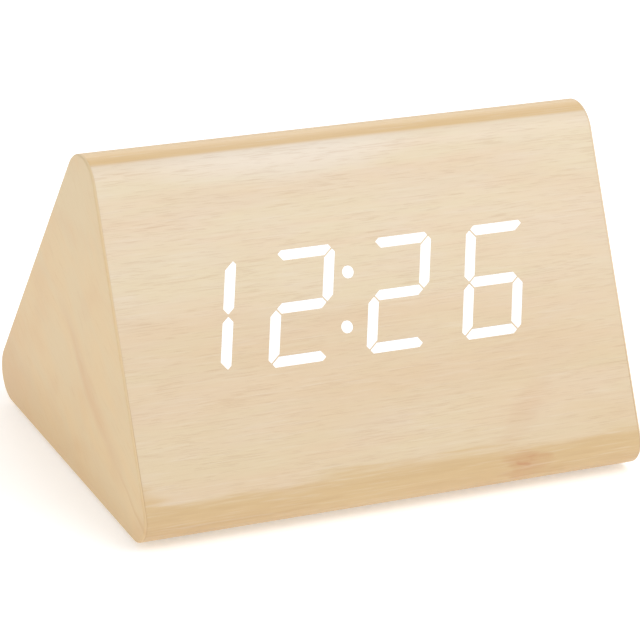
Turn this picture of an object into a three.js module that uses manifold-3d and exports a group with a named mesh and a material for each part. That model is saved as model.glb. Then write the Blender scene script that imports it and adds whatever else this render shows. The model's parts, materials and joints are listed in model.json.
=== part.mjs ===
// A triangular wooden bedside clock whose four glowing digits shine out of the sloping front.
// Lengths are millimetres. +X is to the right seen from the front, the display faces -Y and +Z is up.
// The origin is on the floor, under the middle of the clock.

import * as THREE from 'three';
import { mergeVertices } from 'three/addons/utils/BufferGeometryUtils.js';
import Module from 'manifold-3d';

const wasm = await Module();
wasm.setup();

// Wooden case: a three-sided prism, sized where its flat faces would meet in sharp edges
const bodyLength = 130;
const sectionBase = 98.5;
const sectionHeight = 87.3;
const frontCornerRadius = 6;
const backCornerRadius = 7.5;
const topCornerRadius = 8.5;
const veneerThickness = 0.6;
const boardThickness = 6;
const glueGap = 0.1;

// Feet: round rubber pads under the flat of the underside
const footHeight = 1.2;
const footRadius = 4.5;
const footEndInset = 12;
const footSideInset = 7;

// Clearances
const seatGap = 0.1;
const fitGap = 0.3;
const pinGap = 0.12;
const overrun = 1;

// Display: slanted seven-segment digits, which share the length that the gaps at its two ends leave
const shownTime = [1, 2, 2, 6];
const litSegments = { 1: 'bc', 2: 'abdeg', 6: 'acdefg' };
const digitWidthShare = 0.634;
const digitHeight = 26.7;
const digitSlant = 0.222;
const flatStroke = 2.5;
const uprightStroke = 2.85;
const cornerChamfer = 1.92;
const segmentGap = 0.3;
const colonRadius = 1.43;
const colonSpread = 12.6;
const colonShiftShare = -0.034;
const displayHeight = 52.15;
const displayLeftGap = 2.05;
const displayRightGap = 13.63;
const maskMargin = 1.65;
const maskRim = 3;

// Display module behind the front board
const guideGap = 0.04;
const litRecess = 0.05;
const darkDrop = 0.3;
const flangeThickness = 1.5;
const flangeReach = 4.6;
const pocketDepth = 2.2;
const guidePlate = 0.8;
const guideMargin = 0.5;
const circuitThickness = 1.6;
const ledLength = 1.6;
const ledWidth = 0.8;
const ledHeight = 0.7;
const ledLegHeight = 0.2;

// Controller chip and watch crystal on the back of the display's circuit board
const chipLength = 10;
const chipWidth = 7.4;
const chipHeight = 2.2;
const chipPlaceShares = [0.62, 0.45];
const legCount = 7;
const legWidth = 0.5;
const legReach = 1.3;
const legThickness = 0.9;
const crystalRadius = 1.05;
const crystalLength = 6;
const crystalPlaceShares = [0.76, 0.45];

// Ribbon cable between the two circuit boards
const ribbonWidth = 10;
const ribbonThickness = 0.9;
const ribbonReach = 11;
const ribbonSteps = 18;
const socketMargin = 0.8;
const socketDepth = 3;
const socketHeight = 4;
const displaySocketDrop = 9;
const mainSocketShares = [0.15, -0.4];

// Small screws that hold the boards
const smallShankRadius = 0.95;
const smallHeadRadius = 1.9;
const smallHeadHeight = 1.2;
const smallScrewBite = 3;
const displayScrewInset = 9;
const bossRadius = 2.6;
const bossInset = 3.4;
const bossBite = 3.2;

// Rear cover: a black moulding let into the back slope, with the battery bay and the controls
const coverSideMargin = 10;
const coverThickness = 1.8;
const coverRecess = 0.2;
const coverCornerRadius = 4;
const coverPlaceShare = 0.48;
const screwLip = 5.5;
const coverScrewSpread = 17;
const coverShankRadius = 1.1;
const coverHeadRadius = 2.1;
const coverHeadHeight = 1;
const coverScrewBite = 4;
const crossSlotWidth = 0.6;
const crossSlotShare = 0.62;
const crossSlotDepth = 0.5;

// Batteries: three small round cells lying side by side
const cellCount = 3;
const cellRadius = 5.25;
const cellLength = 44.5;
const cellSpacing = 1;
const cellEdge = 0.5;
const nubRadius = 1.9;
const nubHeight = 0.9;
const jacketChamfer = 0.4;
const contactThickness = 0.4;
const contactSize = 8.4;
const contactBumpRadius = 2.2;
const contactBumpHeight = 0.3;
const springLength = 4.6;
const springBaseRadius = 3.5;
const springTipRadius = 1.9;
const springWireRadius = 0.3;
const springTurns = 3;
const springSteps = 8;
const springSides = 5;
const bayWall = 1.8;
const bayRibWidth = 2;
const bayRibHeight = 2;
const bayRibShare = 0.6;

// Battery door: hooks under the lower rim with two tabs and snaps at its upper edge
const doorThickness = 1.5;
const doorLedge = 1;
const doorCornerRadius = 1.5;
const tabWidth = 6;
const tabSpread = 30;
const tabReach = 1;
const tabThickness = 1;
const tabWeb = 1.1;
const tabPlay = 0.3;
const slotPlay = 0.6;
const latchWidth = 9;
const latchThickness = 1;
const latchDrop = 1.7;
const latchInset = 0.6;
const latchNose = 0.25;
const latchNoseHeight = 0.7;
const scoopRadius = 7;
const scoopReach = 3.6;
const scoopDepth = 1;
const gripCount = 3;
const gripWidth = 11;
const gripThickness = 0.7;
const gripPitch = 1.8;
const gripHeight = 0.25;
const gripInset = 2.4;

// Buttons, with the small switches that they press
const buttonNames = ['set_button', 'up_button', 'down_button'];
const buttonPitchShare = 0.27;
const buttonShares = [-0.24, 0.04];
const buttonRadius = 2.9;
const buttonRise = 0.8;
const buttonEdge = 0.35;
const buttonGap = 0.25;
const flangeRadius = 3.6;
const buttonFlange = 1;
const plungerRadius = 1.7;
const plungerRise = 1;
const plungerSink = 1.2;
const plungerRoom = 0.9;
const switchSize = 6;
const switchHeight = 3.5;
const symbolRise = 0.2;
const symbolRadius = 1.5;
const symbolStroke = 0.45;
const symbolGap = 2.4;

// Power socket, sounder and microphone behind their holes in the cover
const controlsGap = 1.2;
const jackShares = [0.22, -0.3];
const jackSize = 8;
const jackNoseRadius = 3.2;
const jackBoreRadius = 1.85;
const jackFloor = 1.2;
const jackPinRadius = 0.65;
const jackPinDrop = 1;
const jackPinSink = 0.7;
const sounderShares = [0.22, 0.17];
const sounderRadius = 4.75;
const sounderHeight = 4.4;
const sounderMouthRadius = 1.2;
const sounderMouthDepth = 0.6;
const soundHoleRadius = 0.6;
const soundHoleRing = 2.4;
const soundHoleCount = 6;
const microphoneShares = [0.22, -0.085];
const microphoneRadius = 2;
const microphoneHeight = 1.8;
const microphoneHole = 0.75;
const microphoneLip = 0.35;

// Backup coin cell on the inner side of the main board, near its edge beside the battery bay
const coinSideGap = 4.2;
const coinRadius = 10;
const coinThickness = 3.2;
const coinStep = 1.1;
const coinStepHeight = 0.6;
const coinHolderWall = 1.2;
const coinHolderFloor = 1;

// How far past the corners a mitre cut reaches, as a share of the way out from the section's centre
const mitreShare = 1.3;

// How finely round shapes are stepped
const cornerSteps = 7;
const plateSteps = 3;
const roundSides = 24;
const colonSides = 20;
const smallSides = 12;
const holeSides = 10;

// Sizes worked out from the ones above
const halfLength = bodyLength / 2;
const halfBase = sectionBase / 2;
const baseAngle = Math.atan2(sectionHeight, halfBase);
const slopeLength = Math.hypot(sectionHeight, halfBase);
const boardFaceInset = veneerThickness + glueGap;
const cavityInset = boardFaceInset + boardThickness;
const wrapHalf = halfLength - veneerThickness;
const endBoardOuter = wrapHalf - glueGap;
const endBoardInner = endBoardOuter - boardThickness;
const panelHalf = endBoardInner - glueGap;
const sectionCorners = [
  { point: new THREE.Vector2(-halfBase, 0), radius: frontCornerRadius },
  { point: new THREE.Vector2(halfBase, 0), radius: backCornerRadius },
  { point: new THREE.Vector2(0, sectionHeight), radius: topCornerRadius },
];
const sharpCorners = sectionCorners.map((corner) => corner.point);
const cornerRun = 1 / Math.tan(baseAngle / 2);
const flatFront = -halfBase + frontCornerRadius * cornerRun;
const flatBack = halfBase - backCornerRadius * cornerRun;
const frontReach = flatFront - frontCornerRadius;
const backReach = flatBack + backCornerRadius;

// Solids, made closed so that they can be joined and cut
function solidOf(geometry) {
  const bare = geometry.clone();
  bare.deleteAttribute('normal');
  bare.deleteAttribute('uv');
  const welded = mergeVertices(bare);
  return new wasm.Manifold(new wasm.Mesh({
    numProp: 3,
    vertProperties: Float32Array.from(welded.attributes.position.array),
    triVerts: Uint32Array.from(welded.index.array),
  }));
}

function geometryOf(solid) {
  const { vertProperties, triVerts } = solid.getMesh();
  const geometry = new THREE.BufferGeometry();
  geometry.setAttribute('position', new THREE.BufferAttribute(vertProperties, 3));
  geometry.setIndex(new THREE.BufferAttribute(triVerts, 1));
  geometry.computeVertexNormals();
  return geometry;
}

const join = (first, ...rest) => geometryOf(
  rest.reduce((whole, piece) => whole.add(solidOf(piece)), solidOf(first)),
);

const carve = (stock, ...tools) => geometryOf(
  tools.reduce((left, tool) => left.subtract(solidOf(tool)), solidOf(stock)),
);

const shared = (one, other) => geometryOf(solidOf(one).intersect(solidOf(other)));

// Basic forms: each span is a pair, from the low end to the high end
const spread = (middle, size) => [middle - size / 2, middle + size / 2];
const widened = ([low, high], amount) => [low - amount, high + amount];
const middleOf = ([low, high]) => (low + high) / 2;
const sizeOf = ([low, high]) => high - low;

function block(spanX, spanY, spanZ) {
  const spans = [spanX, spanY, spanZ];
  return new THREE.BoxGeometry(...spans.map(sizeOf)).translate(...spans.map(middleOf));
}

function disc(radius, [x, y], span, sides = roundSides) {
  return new THREE.CylinderGeometry(radius, radius, sizeOf(span), sides)
    .rotateX(Math.PI / 2)
    .translate(x, y, middleOf(span));
}

function prism(shape, span, steps = plateSteps) {
  const options = { depth: sizeOf(span), bevelEnabled: false, curveSegments: steps };
  return new THREE.ExtrudeGeometry(shape, options).translate(0, 0, span[0]);
}

function turned(profile, sides) {
  const points = profile.map(([radius, height]) => new THREE.Vector2(radius, height));
  return new THREE.LatheGeometry(points, sides).rotateX(Math.PI / 2);
}

function roundedRectangle([left, right], [low, high], radius) {
  const quarter = Math.PI / 2;
  const shape = new THREE.Shape();
  shape.absarc(right - radius, high - radius, radius, 0, quarter);
  shape.absarc(left + radius, high - radius, radius, quarter, 2 * quarter);
  shape.absarc(left + radius, low + radius, radius, 2 * quarter, 3 * quarter);
  shape.absarc(right - radius, low + radius, radius, 3 * quarter, 4 * quarter);
  return shape;
}

function named(name, geometry, finish) {
  const mesh = new THREE.Mesh(geometry, new THREE.MeshStandardMaterial(finish));
  mesh.name = name;
  return mesh;
}

const finishes = {
  wood: { color: 0xe8d6b8, roughness: 0.55, metalness: 0 },
  board: { color: 0xb08d63, roughness: 0.95, metalness: 0 },
  glow: { color: 0xffffff, emissive: 0xffffff, roughness: 0.5, metalness: 0 },
  black: { color: 0x1c1c1d, roughness: 0.5, metalness: 0 },
  rubber: { color: 0x2a2a2a, roughness: 0.9, metalness: 0 },
  circuit: { color: 0x1f5a35, roughness: 0.5, metalness: 0 },
  ribbon: { color: 0x9a9a9a, roughness: 0.6, metalness: 0 },
  steel: { color: 0xb9bcc0, roughness: 0.35, metalness: 1 },
  brass: { color: 0xc9a25a, roughness: 0.35, metalness: 1 },
  jacket: { color: 0x3f5f8f, roughness: 0.4, metalness: 0 },
};

// Frames: the body stands on its feet, and each slope has a frame with x along the edge, y up the slope
// and z straight out of the wood, from the line where the slope would meet the underside
const clock = new THREE.Group();
const body = new THREE.Group();
body.position.set(0, -(frontReach + backReach) / 2, footHeight);
clock.add(body);

const front = new THREE.Group();
front.position.set(0, -halfBase, 0);
front.rotation.set(baseAngle, 0, 0);
front.updateMatrix();
body.add(front);

const back = new THREE.Group();
back.position.set(0, halfBase, 0);
back.rotation.set(baseAngle, 0, Math.PI, 'ZXY');
back.updateMatrix();
body.add(back);

// Section of the case
function centreOf(corners) {
  const opposite = corners.map((_, i) => corners[(i + 1) % 3].distanceTo(corners[(i + 2) % 3]));
  const around = opposite[0] + opposite[1] + opposite[2];
  const centre = new THREE.Vector2();
  corners.forEach((corner, i) => centre.addScaledVector(corner, opposite[i] / around));
  const inRadius = (2 * Math.abs(THREE.ShapeUtils.area(corners))) / around;
  return { centre, inRadius };
}

function insetTriangle(corners, depth) {
  const { centre, inRadius } = centreOf(corners);
  return corners.map((corner) => centre.clone().lerp(corner, 1 - depth / inRadius));
}

function roundedSection(inset) {
  const slopeNormal = Math.PI / 2 - baseAngle;
  const turns = [
    [Math.PI - slopeNormal, 1.5 * Math.PI],
    [-Math.PI / 2, slopeNormal],
    [slopeNormal, Math.PI - slopeNormal],
  ];
  const shape = new THREE.Shape();
  sectionCorners.forEach(({ radius }, i) => {
    const centre = insetTriangle(sharpCorners, radius)[i];
    shape.absarc(centre.x, centre.y, radius - inset, ...turns[i]);
  });
  return shape;
}

// A section drawn in the plane across the clock, run along X
function alongX(shape, span, steps = cornerSteps) {
  const axes = new THREE.Matrix4().makeBasis(
    new THREE.Vector3(0, 1, 0),
    new THREE.Vector3(0, 0, 1),
    new THREE.Vector3(1, 0, 0),
  );
  return prism(shape, span, steps).applyMatrix4(axes);
}

// Seven segments of one digit, upright and centred, by their usual letters
function segmentOutlines() {
  const right = digitWidth / 2;
  const top = digitHeight / 2;
  const half = cornerChamfer / 2;
  const joint = segmentGap / Math.SQRT2;
  const tip = right - uprightStroke / 2;
  const a = [
    [-right + half + joint / 2, top - half + joint / 2],
    [-right + cornerChamfer, top],
    [right - cornerChamfer, top],
    [right - half - joint / 2, top - half + joint / 2],
    [right - flatStroke - joint, top - flatStroke],
    [-right + flatStroke + joint, top - flatStroke],
  ];
  const b = [
    [right - half + joint / 2, top - half - joint / 2],
    [right, top - cornerChamfer],
    [right, joint + uprightStroke / 2],
    [tip, joint],
    [right - uprightStroke, joint + uprightStroke / 2],
    [right - uprightStroke, top - uprightStroke - joint],
  ];
  const g = [
    [-tip + joint, 0],
    [-tip + joint + flatStroke / 2, flatStroke / 2],
    [tip - joint - flatStroke / 2, flatStroke / 2],
    [tip - joint, 0],
    [tip - joint - flatStroke / 2, -flatStroke / 2],
    [-tip + joint + flatStroke / 2, -flatStroke / 2],
  ];
  const mirror = (points, sideways, upright) => points.map(([x, y]) => [x * sideways, y * upright]);
  return {
    a,
    b,
    c: mirror(b, 1, -1),
    d: mirror(a, 1, -1),
    e: mirror(b, -1, -1),
    f: mirror(b, -1, 1),
    g,
  };
}

// Where the display stands on the front slope, and the depths of its layers behind the wood's surface
const displaySpanX = [-endBoardInner + displayLeftGap, endBoardInner - displayRightGap];
const digitsLength = sizeOf(displaySpanX) - 2 * maskMargin - digitSlant * digitHeight;
const digitPitch = digitsLength / (shownTime.length - 1 + digitWidthShare);
const digitWidth = digitPitch * digitWidthShare;
const displaySpanY = spread(displayHeight, digitHeight + 2 * maskRim);
const flangeSpanY = widened(displaySpanY, flangeReach);
const displayMiddle = middleOf(displaySpanX);
const maskFace = -boardFaceInset;
const maskBack = -(cavityInset + seatGap + flangeThickness);
const circuitFace = maskBack - seatGap;
const circuitBack = circuitFace - circuitThickness;
const plateFace = maskBack + pocketDepth - seatGap;
const displayScrews = widened(displaySpanX, -displayScrewInset).flatMap(
  (x) => [0, 1].map((end) => [x, (displaySpanY[end] + flangeSpanY[end]) / 2]),
);

// Rear cover, seen square on from behind: the battery bay is on the left and the controls are on the right
const coverMiddle = coverPlaceShare * slopeLength;
const coverWidth = bodyLength - 2 * coverSideMargin;
const coverFace = -coverRecess;
const coverBack = coverFace - coverThickness;
const coverCore = (coverFace + coverBack) / 2;
const cellPitch = 2 * cellRadius + cellSpacing;
const bayHeight = cellCount * cellPitch - cellSpacing + 2 * cellEdge;
const bayLength = cellLength + springLength + 2 * contactThickness + contactBumpHeight + 4 * fitGap;
const bayLeft = -coverWidth / 2 + screwLip + fitGap + bayWall;
const baySpanX = [bayLeft, bayLeft + bayLength];
const baySpanY = spread(coverMiddle, bayHeight);
const bayMiddle = middleOf(baySpanX);
const openingSpanX = spread(0, coverWidth - 2 * screwLip);
const openingSpanY = widened(baySpanY, bayWall + fitGap);
const coverSpanX = spread(0, coverWidth);
const coverSpanY = widened(openingSpanY, screwLip);
const coverScrews = [-1, 1].flatMap((side) => [-1, 1].map((end) => [
  (side * (coverWidth - screwLip)) / 2,
  coverMiddle + end * coverScrewSpread,
]));

// Battery door and its hooks, inside the cover's rim
const doorSpanX = widened(baySpanX, doorLedge - fitGap);
const doorSpanY = widened(baySpanY, doorLedge - fitGap);
const doorBack = coverFace - doorThickness;
const doorCore = (coverFace + doorBack) / 2;
const tabPlaces = spread(bayMiddle, tabSpread);
const tabTop = coverBack - tabPlay;
const tabBottom = tabTop - tabThickness;
const cellDepth = doorBack - cellEdge - cellRadius;
const bayFloor = cellDepth - cellRadius - fitGap;

// Controls: they share what is left of the opening beside the battery bay
const controlsSpanX = [baySpanX[1] + bayWall + controlsGap, openingSpanX[1] - controlsGap];
const controlsSpanY = widened(openingSpanY, -controlsGap);
const atControls = ([shareX, shareY]) => [
  middleOf(controlsSpanX) + shareX * sizeOf(controlsSpanX),
  coverMiddle + shareY * sizeOf(controlsSpanY),
];
const buttonPlaces = buttonNames.map((_, i) => atControls([
  buttonShares[0],
  buttonShares[1] + ((buttonNames.length - 1) / 2 - i) * buttonPitchShare,
]));
const jackPlace = atControls(jackShares);
const sounderPlace = atControls(sounderShares);
const microphonePlace = atControls(microphoneShares);
const coinHolderRadius = coinRadius + fitGap + coinHolderWall;
const coinPlace = [controlsSpanX[0] + coinSideGap + coinHolderRadius, coverMiddle];
const mainSocketPlace = atControls(mainSocketShares);
const displaySocketPlace = [-mainSocketPlace[0], displayHeight - displaySocketDrop];
const bosses = [0, 1].map((end) => [
  widened(controlsSpanX, -bossInset)[end],
  widened(controlsSpanY, -bossInset)[end],
]);

// Heights of the controls, from the buttons down to the main board
const buttonSeat = coverBack - seatGap;
const buttonFoot = buttonSeat - buttonFlange;
const plungerTop = buttonFoot - seatGap;
const switchTop = plungerTop - plungerRise;
const mainFace = switchTop - switchHeight - seatGap;
const mainBack = mainFace - circuitThickness;
const mainSeat = mainFace + seatGap;

// Outlines that more than one piece uses
const slanted = (points, [x, y]) => points.map(
  ([along, up]) => new THREE.Vector2(x + along + digitSlant * up, y + up),
);

const rectangle = (width, height) => [
  [-width / 2, -height / 2],
  [width / 2, -height / 2],
  [width / 2, height / 2],
  [-width / 2, height / 2],
];

function circleAround([x, y], radius) {
  return Array.from({ length: colonSides }, (_, i) => {
    const angle = (2 * Math.PI * i) / colonSides;
    return new THREE.Vector2(x + radius * Math.cos(angle), y + radius * Math.sin(angle));
  });
}

// Moves every side of a convex outline outwards by the same amount
function grown(points, amount) {
  const loop = THREE.ShapeUtils.area(points) > 0 ? points : [...points].reverse();
  return loop.map((point, i) => {
    const before = point.clone().sub(loop[(i + loop.length - 1) % loop.length]).normalize();
    const after = loop[(i + 1) % loop.length].clone().sub(point).normalize();
    const outward = new THREE.Vector2(before.y + after.y, -before.x - after.x);
    return point.clone().addScaledVector(outward, amount / (1 + before.dot(after)));
  });
}

const outlinePrism = (points, span) => prism(new THREE.Shape(points), span);

const coverOutline = (gap) => roundedRectangle(
  widened(coverSpanX, gap),
  widened(coverSpanY, gap),
  coverCornerRadius + gap,
);

// Light guides: a slanted plate behind each digit or colon, with a bar to carry the light of each segment
function digitGuide(value, i) {
  const outlines = segmentOutlines();
  const place = [displayMiddle + (i - (shownTime.length - 1) / 2) * digitPitch, displayHeight];
  return {
    name: `digit_${i + 1}_light_guide`,
    plate: slanted(rectangle(digitWidth + 2 * guideMargin, digitHeight + 2 * guideMargin), place),
    bars: Object.entries(outlines).map(([letter, points]) => ({
      outline: slanted(points, place),
      lit: litSegments[value].includes(letter),
    })),
  };
}

function colonGuide() {
  const place = [displayMiddle + colonShiftShare * digitPitch, displayHeight];
  const width = 2 * colonRadius + 2 * guideMargin;
  return {
    name: 'colon_light_guide',
    plate: slanted(rectangle(width, colonSpread + width), place),
    bars: spread(0, colonSpread).map((rise) => ({
      outline: circleAround([place[0] + digitSlant * rise, place[1] + rise], colonRadius),
      lit: true,
    })),
  };
}

const guides = [...shownTime.map(digitGuide), colonGuide()];
const allBars = guides.flatMap(({ bars }) => bars);

function lightGuide({ plate, bars }) {
  const base = outlinePrism(plate, [plateFace - guidePlate, plateFace]);
  const rods = bars.map(({ outline, lit }) => {
    const face = lit ? -litRecess : maskFace - darkDrop;
    return outlinePrism(outline, [plateFace - guidePlate / 2, face]);
  });
  return join(base, ...rods);
}

// Segment mask: an opaque block in the front board's window, with a cell for every segment
function segmentMask() {
  const mask = join(
    block(displaySpanX, displaySpanY, [maskBack, maskFace]),
    block(displaySpanX, flangeSpanY, [maskBack, maskBack + flangeThickness]),
  );
  const cells = allBars.map(
    ({ outline }) => outlinePrism(grown(outline, guideGap), [maskBack + guidePlate, maskFace + overrun]),
  );
  const pockets = guides.map(
    ({ plate }) => outlinePrism(grown(plate, seatGap), [maskBack - overrun, maskBack + pocketDepth]),
  );
  const holes = displayScrews.map(
    (place) => disc(smallShankRadius + pinGap, place, [maskBack - overrun, maskFace], holeSides),
  );
  return carve(mask, ...cells, ...pockets, ...holes);
}

// Display circuit board, with a lamp behind each segment and the ribbon's socket on its back
function ledBoard() {
  const board = block(displaySpanX, flangeSpanY, [circuitBack, circuitFace]);
  const lamps = allBars.map(({ outline }) => {
    const centre = new THREE.Vector2();
    outline.forEach((point) => centre.addScaledVector(point, 1 / outline.length));
    const lens = [circuitFace - ledLegHeight, circuitFace + ledHeight];
    return block(spread(centre.x, ledLength), spread(centre.y, ledWidth), lens);
  });
  const through = [circuitBack - overrun, circuitFace + overrun];
  const holes = displayScrews.map((place) => disc(smallShankRadius + pinGap, place, through, holeSides));
  return carve(join(board, ribbonSocket(displaySocketPlace, circuitBack), ...lamps), ...holes);
}

function ribbonSocket([x, y], boardBack) {
  return block(
    spread(x, ribbonWidth + 2 * socketMargin),
    spread(y, socketDepth),
    [boardBack - socketHeight, boardBack + ledLegHeight],
  );
}

const onDisplayBoard = ([shareX, shareY]) => [
  displaySpanX[0] + shareX * sizeOf(displaySpanX),
  flangeSpanY[0] + shareY * sizeOf(flangeSpanY),
];

function controllerChip() {
  const [x, y] = onDisplayBoard(chipPlaceShares);
  const top = circuitBack - seatGap;
  const pitch = chipLength / legCount;
  const legs = Array.from({ length: legCount }, (_, i) => block(
    spread(x + (i - (legCount - 1) / 2) * pitch, legWidth),
    spread(y, chipWidth + 2 * legReach),
    [top - legThickness, top],
  ));
  return join(block(spread(x, chipLength), spread(y, chipWidth), [top - chipHeight, top]), ...legs);
}

function clockCrystal() {
  const [x, y] = onDisplayBoard(crystalPlaceShares);
  return new THREE.CylinderGeometry(crystalRadius, crystalRadius, crystalLength, smallSides)
    .translate(x, y, circuitBack - seatGap - crystalRadius);
}

// A flat ribbon that sags from the display board's socket to the main board's, both of which face inwards
function ribbonCable() {
  const sockets = [
    { place: displaySocketPlace, height: circuitBack - socketHeight - fitGap, frame: front },
    { place: mainSocketPlace, height: mainBack - socketHeight - fitGap, frame: back },
  ];
  const [start, startPull, endPull, end] = sockets.flatMap(({ place, height, frame }, i) => {
    const points = [height, height - ribbonReach].map((depth) => {
      const point = new THREE.Vector3(...place, depth).applyMatrix4(frame.matrix);
      return new THREE.Vector2(point.y, point.z);
    });
    return i === 0 ? points : points.reverse();
  });
  const curve = new THREE.CubicBezierCurve(start, startPull, endPull, end);
  const edge = (side) => Array.from({ length: ribbonSteps + 1 }, (_, i) => {
    const tangent = curve.getTangentAt(i / ribbonSteps);
    const across = new THREE.Vector2(-tangent.y, tangent.x).multiplyScalar((side * ribbonThickness) / 2);
    return curve.getPointAt(i / ribbonSteps).add(across);
  });
  const outline = new THREE.Shape([...edge(1), ...edge(-1).reverse()]);
  return alongX(outline, spread(displaySocketPlace[0], ribbonWidth));
}

// A screw that points up, with the underside of its head at height zero and a cross cut in the head
function screw(shankRadius, shankLength, headRadius, headHeight) {
  const stem = turned([
    [0, -headHeight],
    [headRadius - headHeight / 4, -headHeight],
    [headRadius, -headHeight / 2],
    [headRadius, 0],
    [shankRadius, 0],
    [shankRadius, shankLength - shankRadius],
    [shankRadius / 4, shankLength],
    [0, shankLength],
  ], smallSides);
  const along = spread(0, 2 * headRadius * crossSlotShare);
  const across = spread(0, crossSlotWidth);
  const deep = [-headHeight - overrun, -headHeight + crossSlotDepth];
  return carve(stem, block(along, across, deep), block(across, along, deep));
}

// Wooden case: boards of equal thickness, mitred at the three long edges, between two end boards
function mitredBoard(first) {
  const everywhere = [-halfLength, halfLength];
  const cavity = new THREE.Shape(insetTriangle(sharpCorners, cavityInset));
  const ring = carve(
    alongX(roundedSection(boardFaceInset), [-panelHalf, panelHalf]),
    alongX(cavity, everywhere),
  );
  const { centre } = centreOf(sharpCorners);
  const ends = [first, (first + 1) % 3].map((i) => centre.clone().lerp(sharpCorners[i], mitreShare));
  const wedge = new THREE.Shape(insetTriangle([centre, ...ends], glueGap / 2));
  return shared(ring, alongX(wedge, everywhere));
}

function frontBoard() {
  const through = [-cavityInset - overrun, overrun];
  const window = block(widened(displaySpanX, seatGap), widened(displaySpanY, seatGap), through);
  const pilots = displayScrews.map((place) => disc(
    smallShankRadius + seatGap,
    place,
    [-cavityInset - overrun, -cavityInset + smallScrewBite + seatGap],
    holeSides,
  ));
  return carve(mitredBoard(2), ...[window, ...pilots].map((tool) => tool.applyMatrix4(front.matrix)));
}

function backBoard() {
  const through = [-cavityInset - overrun, overrun];
  const rebate = prism(coverOutline(fitGap), [coverBack - seatGap, overrun]);
  const opening = block(openingSpanX, openingSpanY, through);
  const pilots = coverScrews.map((place) => disc(coverShankRadius + seatGap, place, through, holeSides));
  return carve(mitredBoard(1), ...[rebate, opening, ...pilots].map((tool) => tool.applyMatrix4(back.matrix)));
}

// One sheet of wood film round the three long faces, cut through for the shining segments and the cover
function veneerWrap() {
  const sheet = carve(
    alongX(roundedSection(0), [-wrapHalf, wrapHalf]),
    alongX(roundedSection(veneerThickness), [-halfLength, halfLength]),
  );
  const through = [-boardFaceInset - boardThickness / 2, overrun];
  const windows = allBars.filter(({ lit }) => lit).map(
    ({ outline }) => outlinePrism(grown(outline, guideGap), through).applyMatrix4(front.matrix),
  );
  return carve(sheet, prism(coverOutline(fitGap), through).applyMatrix4(back.matrix), ...windows);
}

// Rear cover with its battery bay, screw posts, holes and raised button symbols
function buttonSymbols() {
  const ring = new THREE.Shape();
  ring.absarc(0, 0, symbolRadius, 0, 2 * Math.PI);
  ring.holes.push(new THREE.Path().absarc(0, 0, symbolRadius - symbolStroke, 0, 2 * Math.PI));
  const arrow = (turn) => new THREE.Shape([0, 1, 2].map((corner) => {
    const angle = turn + (2 * Math.PI * corner) / 3;
    return new THREE.Vector2(symbolRadius * Math.cos(angle), symbolRadius * Math.sin(angle));
  }));
  return [ring, arrow(Math.PI / 2), arrow(-Math.PI / 2)].map((shape, i) => {
    const [x, y] = buttonPlaces[i];
    return prism(shape, [coverCore, coverFace + symbolRise]).translate(x - buttonRadius - symbolGap, y, 0);
  });
}

function soundHoles() {
  const [x, y] = sounderPlace;
  const ring = Array.from({ length: soundHoleCount }, (_, i) => {
    const angle = (2 * Math.PI * i) / soundHoleCount;
    return [x + soundHoleRing * Math.cos(angle), y + soundHoleRing * Math.sin(angle)];
  });
  return [sounderPlace, ...ring];
}

function tabSlots() {
  const deep = tabBottom - slotPlay;
  const bayEdge = baySpanY[0];
  return tabPlaces.map((x) => spread(x, tabWidth + 2 * fitGap)).flatMap((spanX) => [
    block(spanX, [bayEdge - bayWall - overrun, bayEdge + overrun], [deep, coverBack]),
    block(spanX, [bayEdge - doorLedge, bayEdge + overrun], [deep, coverFace]),
  ]);
}

function rearCover() {
  const bay = block(widened(baySpanX, bayWall), widened(baySpanY, bayWall), [bayFloor - bayWall, coverCore]);
  const posts = bosses.map((place) => disc(bossRadius, place, [mainSeat, coverCore], smallSides));
  const moulding = join(prism(coverOutline(0), [coverBack, coverFace]), bay, ...posts, ...buttonSymbols());
  const through = [coverBack - overrun, coverFace + overrun];
  const recess = roundedRectangle(
    widened(baySpanX, doorLedge),
    widened(baySpanY, doorLedge),
    doorCornerRadius + fitGap,
  );
  const scoopMiddle = [bayMiddle, doorSpanY[1] + scoopReach - scoopRadius];
  const cuts = [
    block(baySpanX, baySpanY, [bayFloor, overrun]),
    prism(recess, [doorBack - seatGap, overrun]),
    disc(scoopRadius, scoopMiddle, [coverFace - scoopDepth, overrun]),
    ...tabSlots(),
    ...buttonPlaces.map((place) => disc(buttonRadius + buttonGap, place, through)),
    disc(jackNoseRadius + fitGap, jackPlace, through),
    ...soundHoles().map((place) => disc(soundHoleRadius, place, through, holeSides)),
    disc(microphoneHole, microphonePlace, through, holeSides),
    ...coverScrews.map((place) => disc(coverShankRadius + pinGap, place, through, holeSides)),
    ...coverScrews.map(
      (place) => disc(coverHeadRadius + fitGap, place, [coverFace - coverHeadHeight - seatGap, overrun]),
    ),
    ...bosses.map((place) => disc(
      smallShankRadius + seatGap,
      place,
      [mainFace - overrun, mainFace + bossBite + seatGap],
      holeSides,
    )),
  ];
  const ribs = Array.from({ length: cellCount - 1 }, (_, i) => block(
    spread(bayMiddle, bayLength * bayRibShare),
    spread(coverMiddle + (i + 1 - cellCount / 2) * cellPitch, bayRibWidth),
    [bayFloor - bayWall / 2, bayFloor + bayRibHeight],
  ));
  return join(carve(moulding, ...cuts), ...ribs);
}

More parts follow.
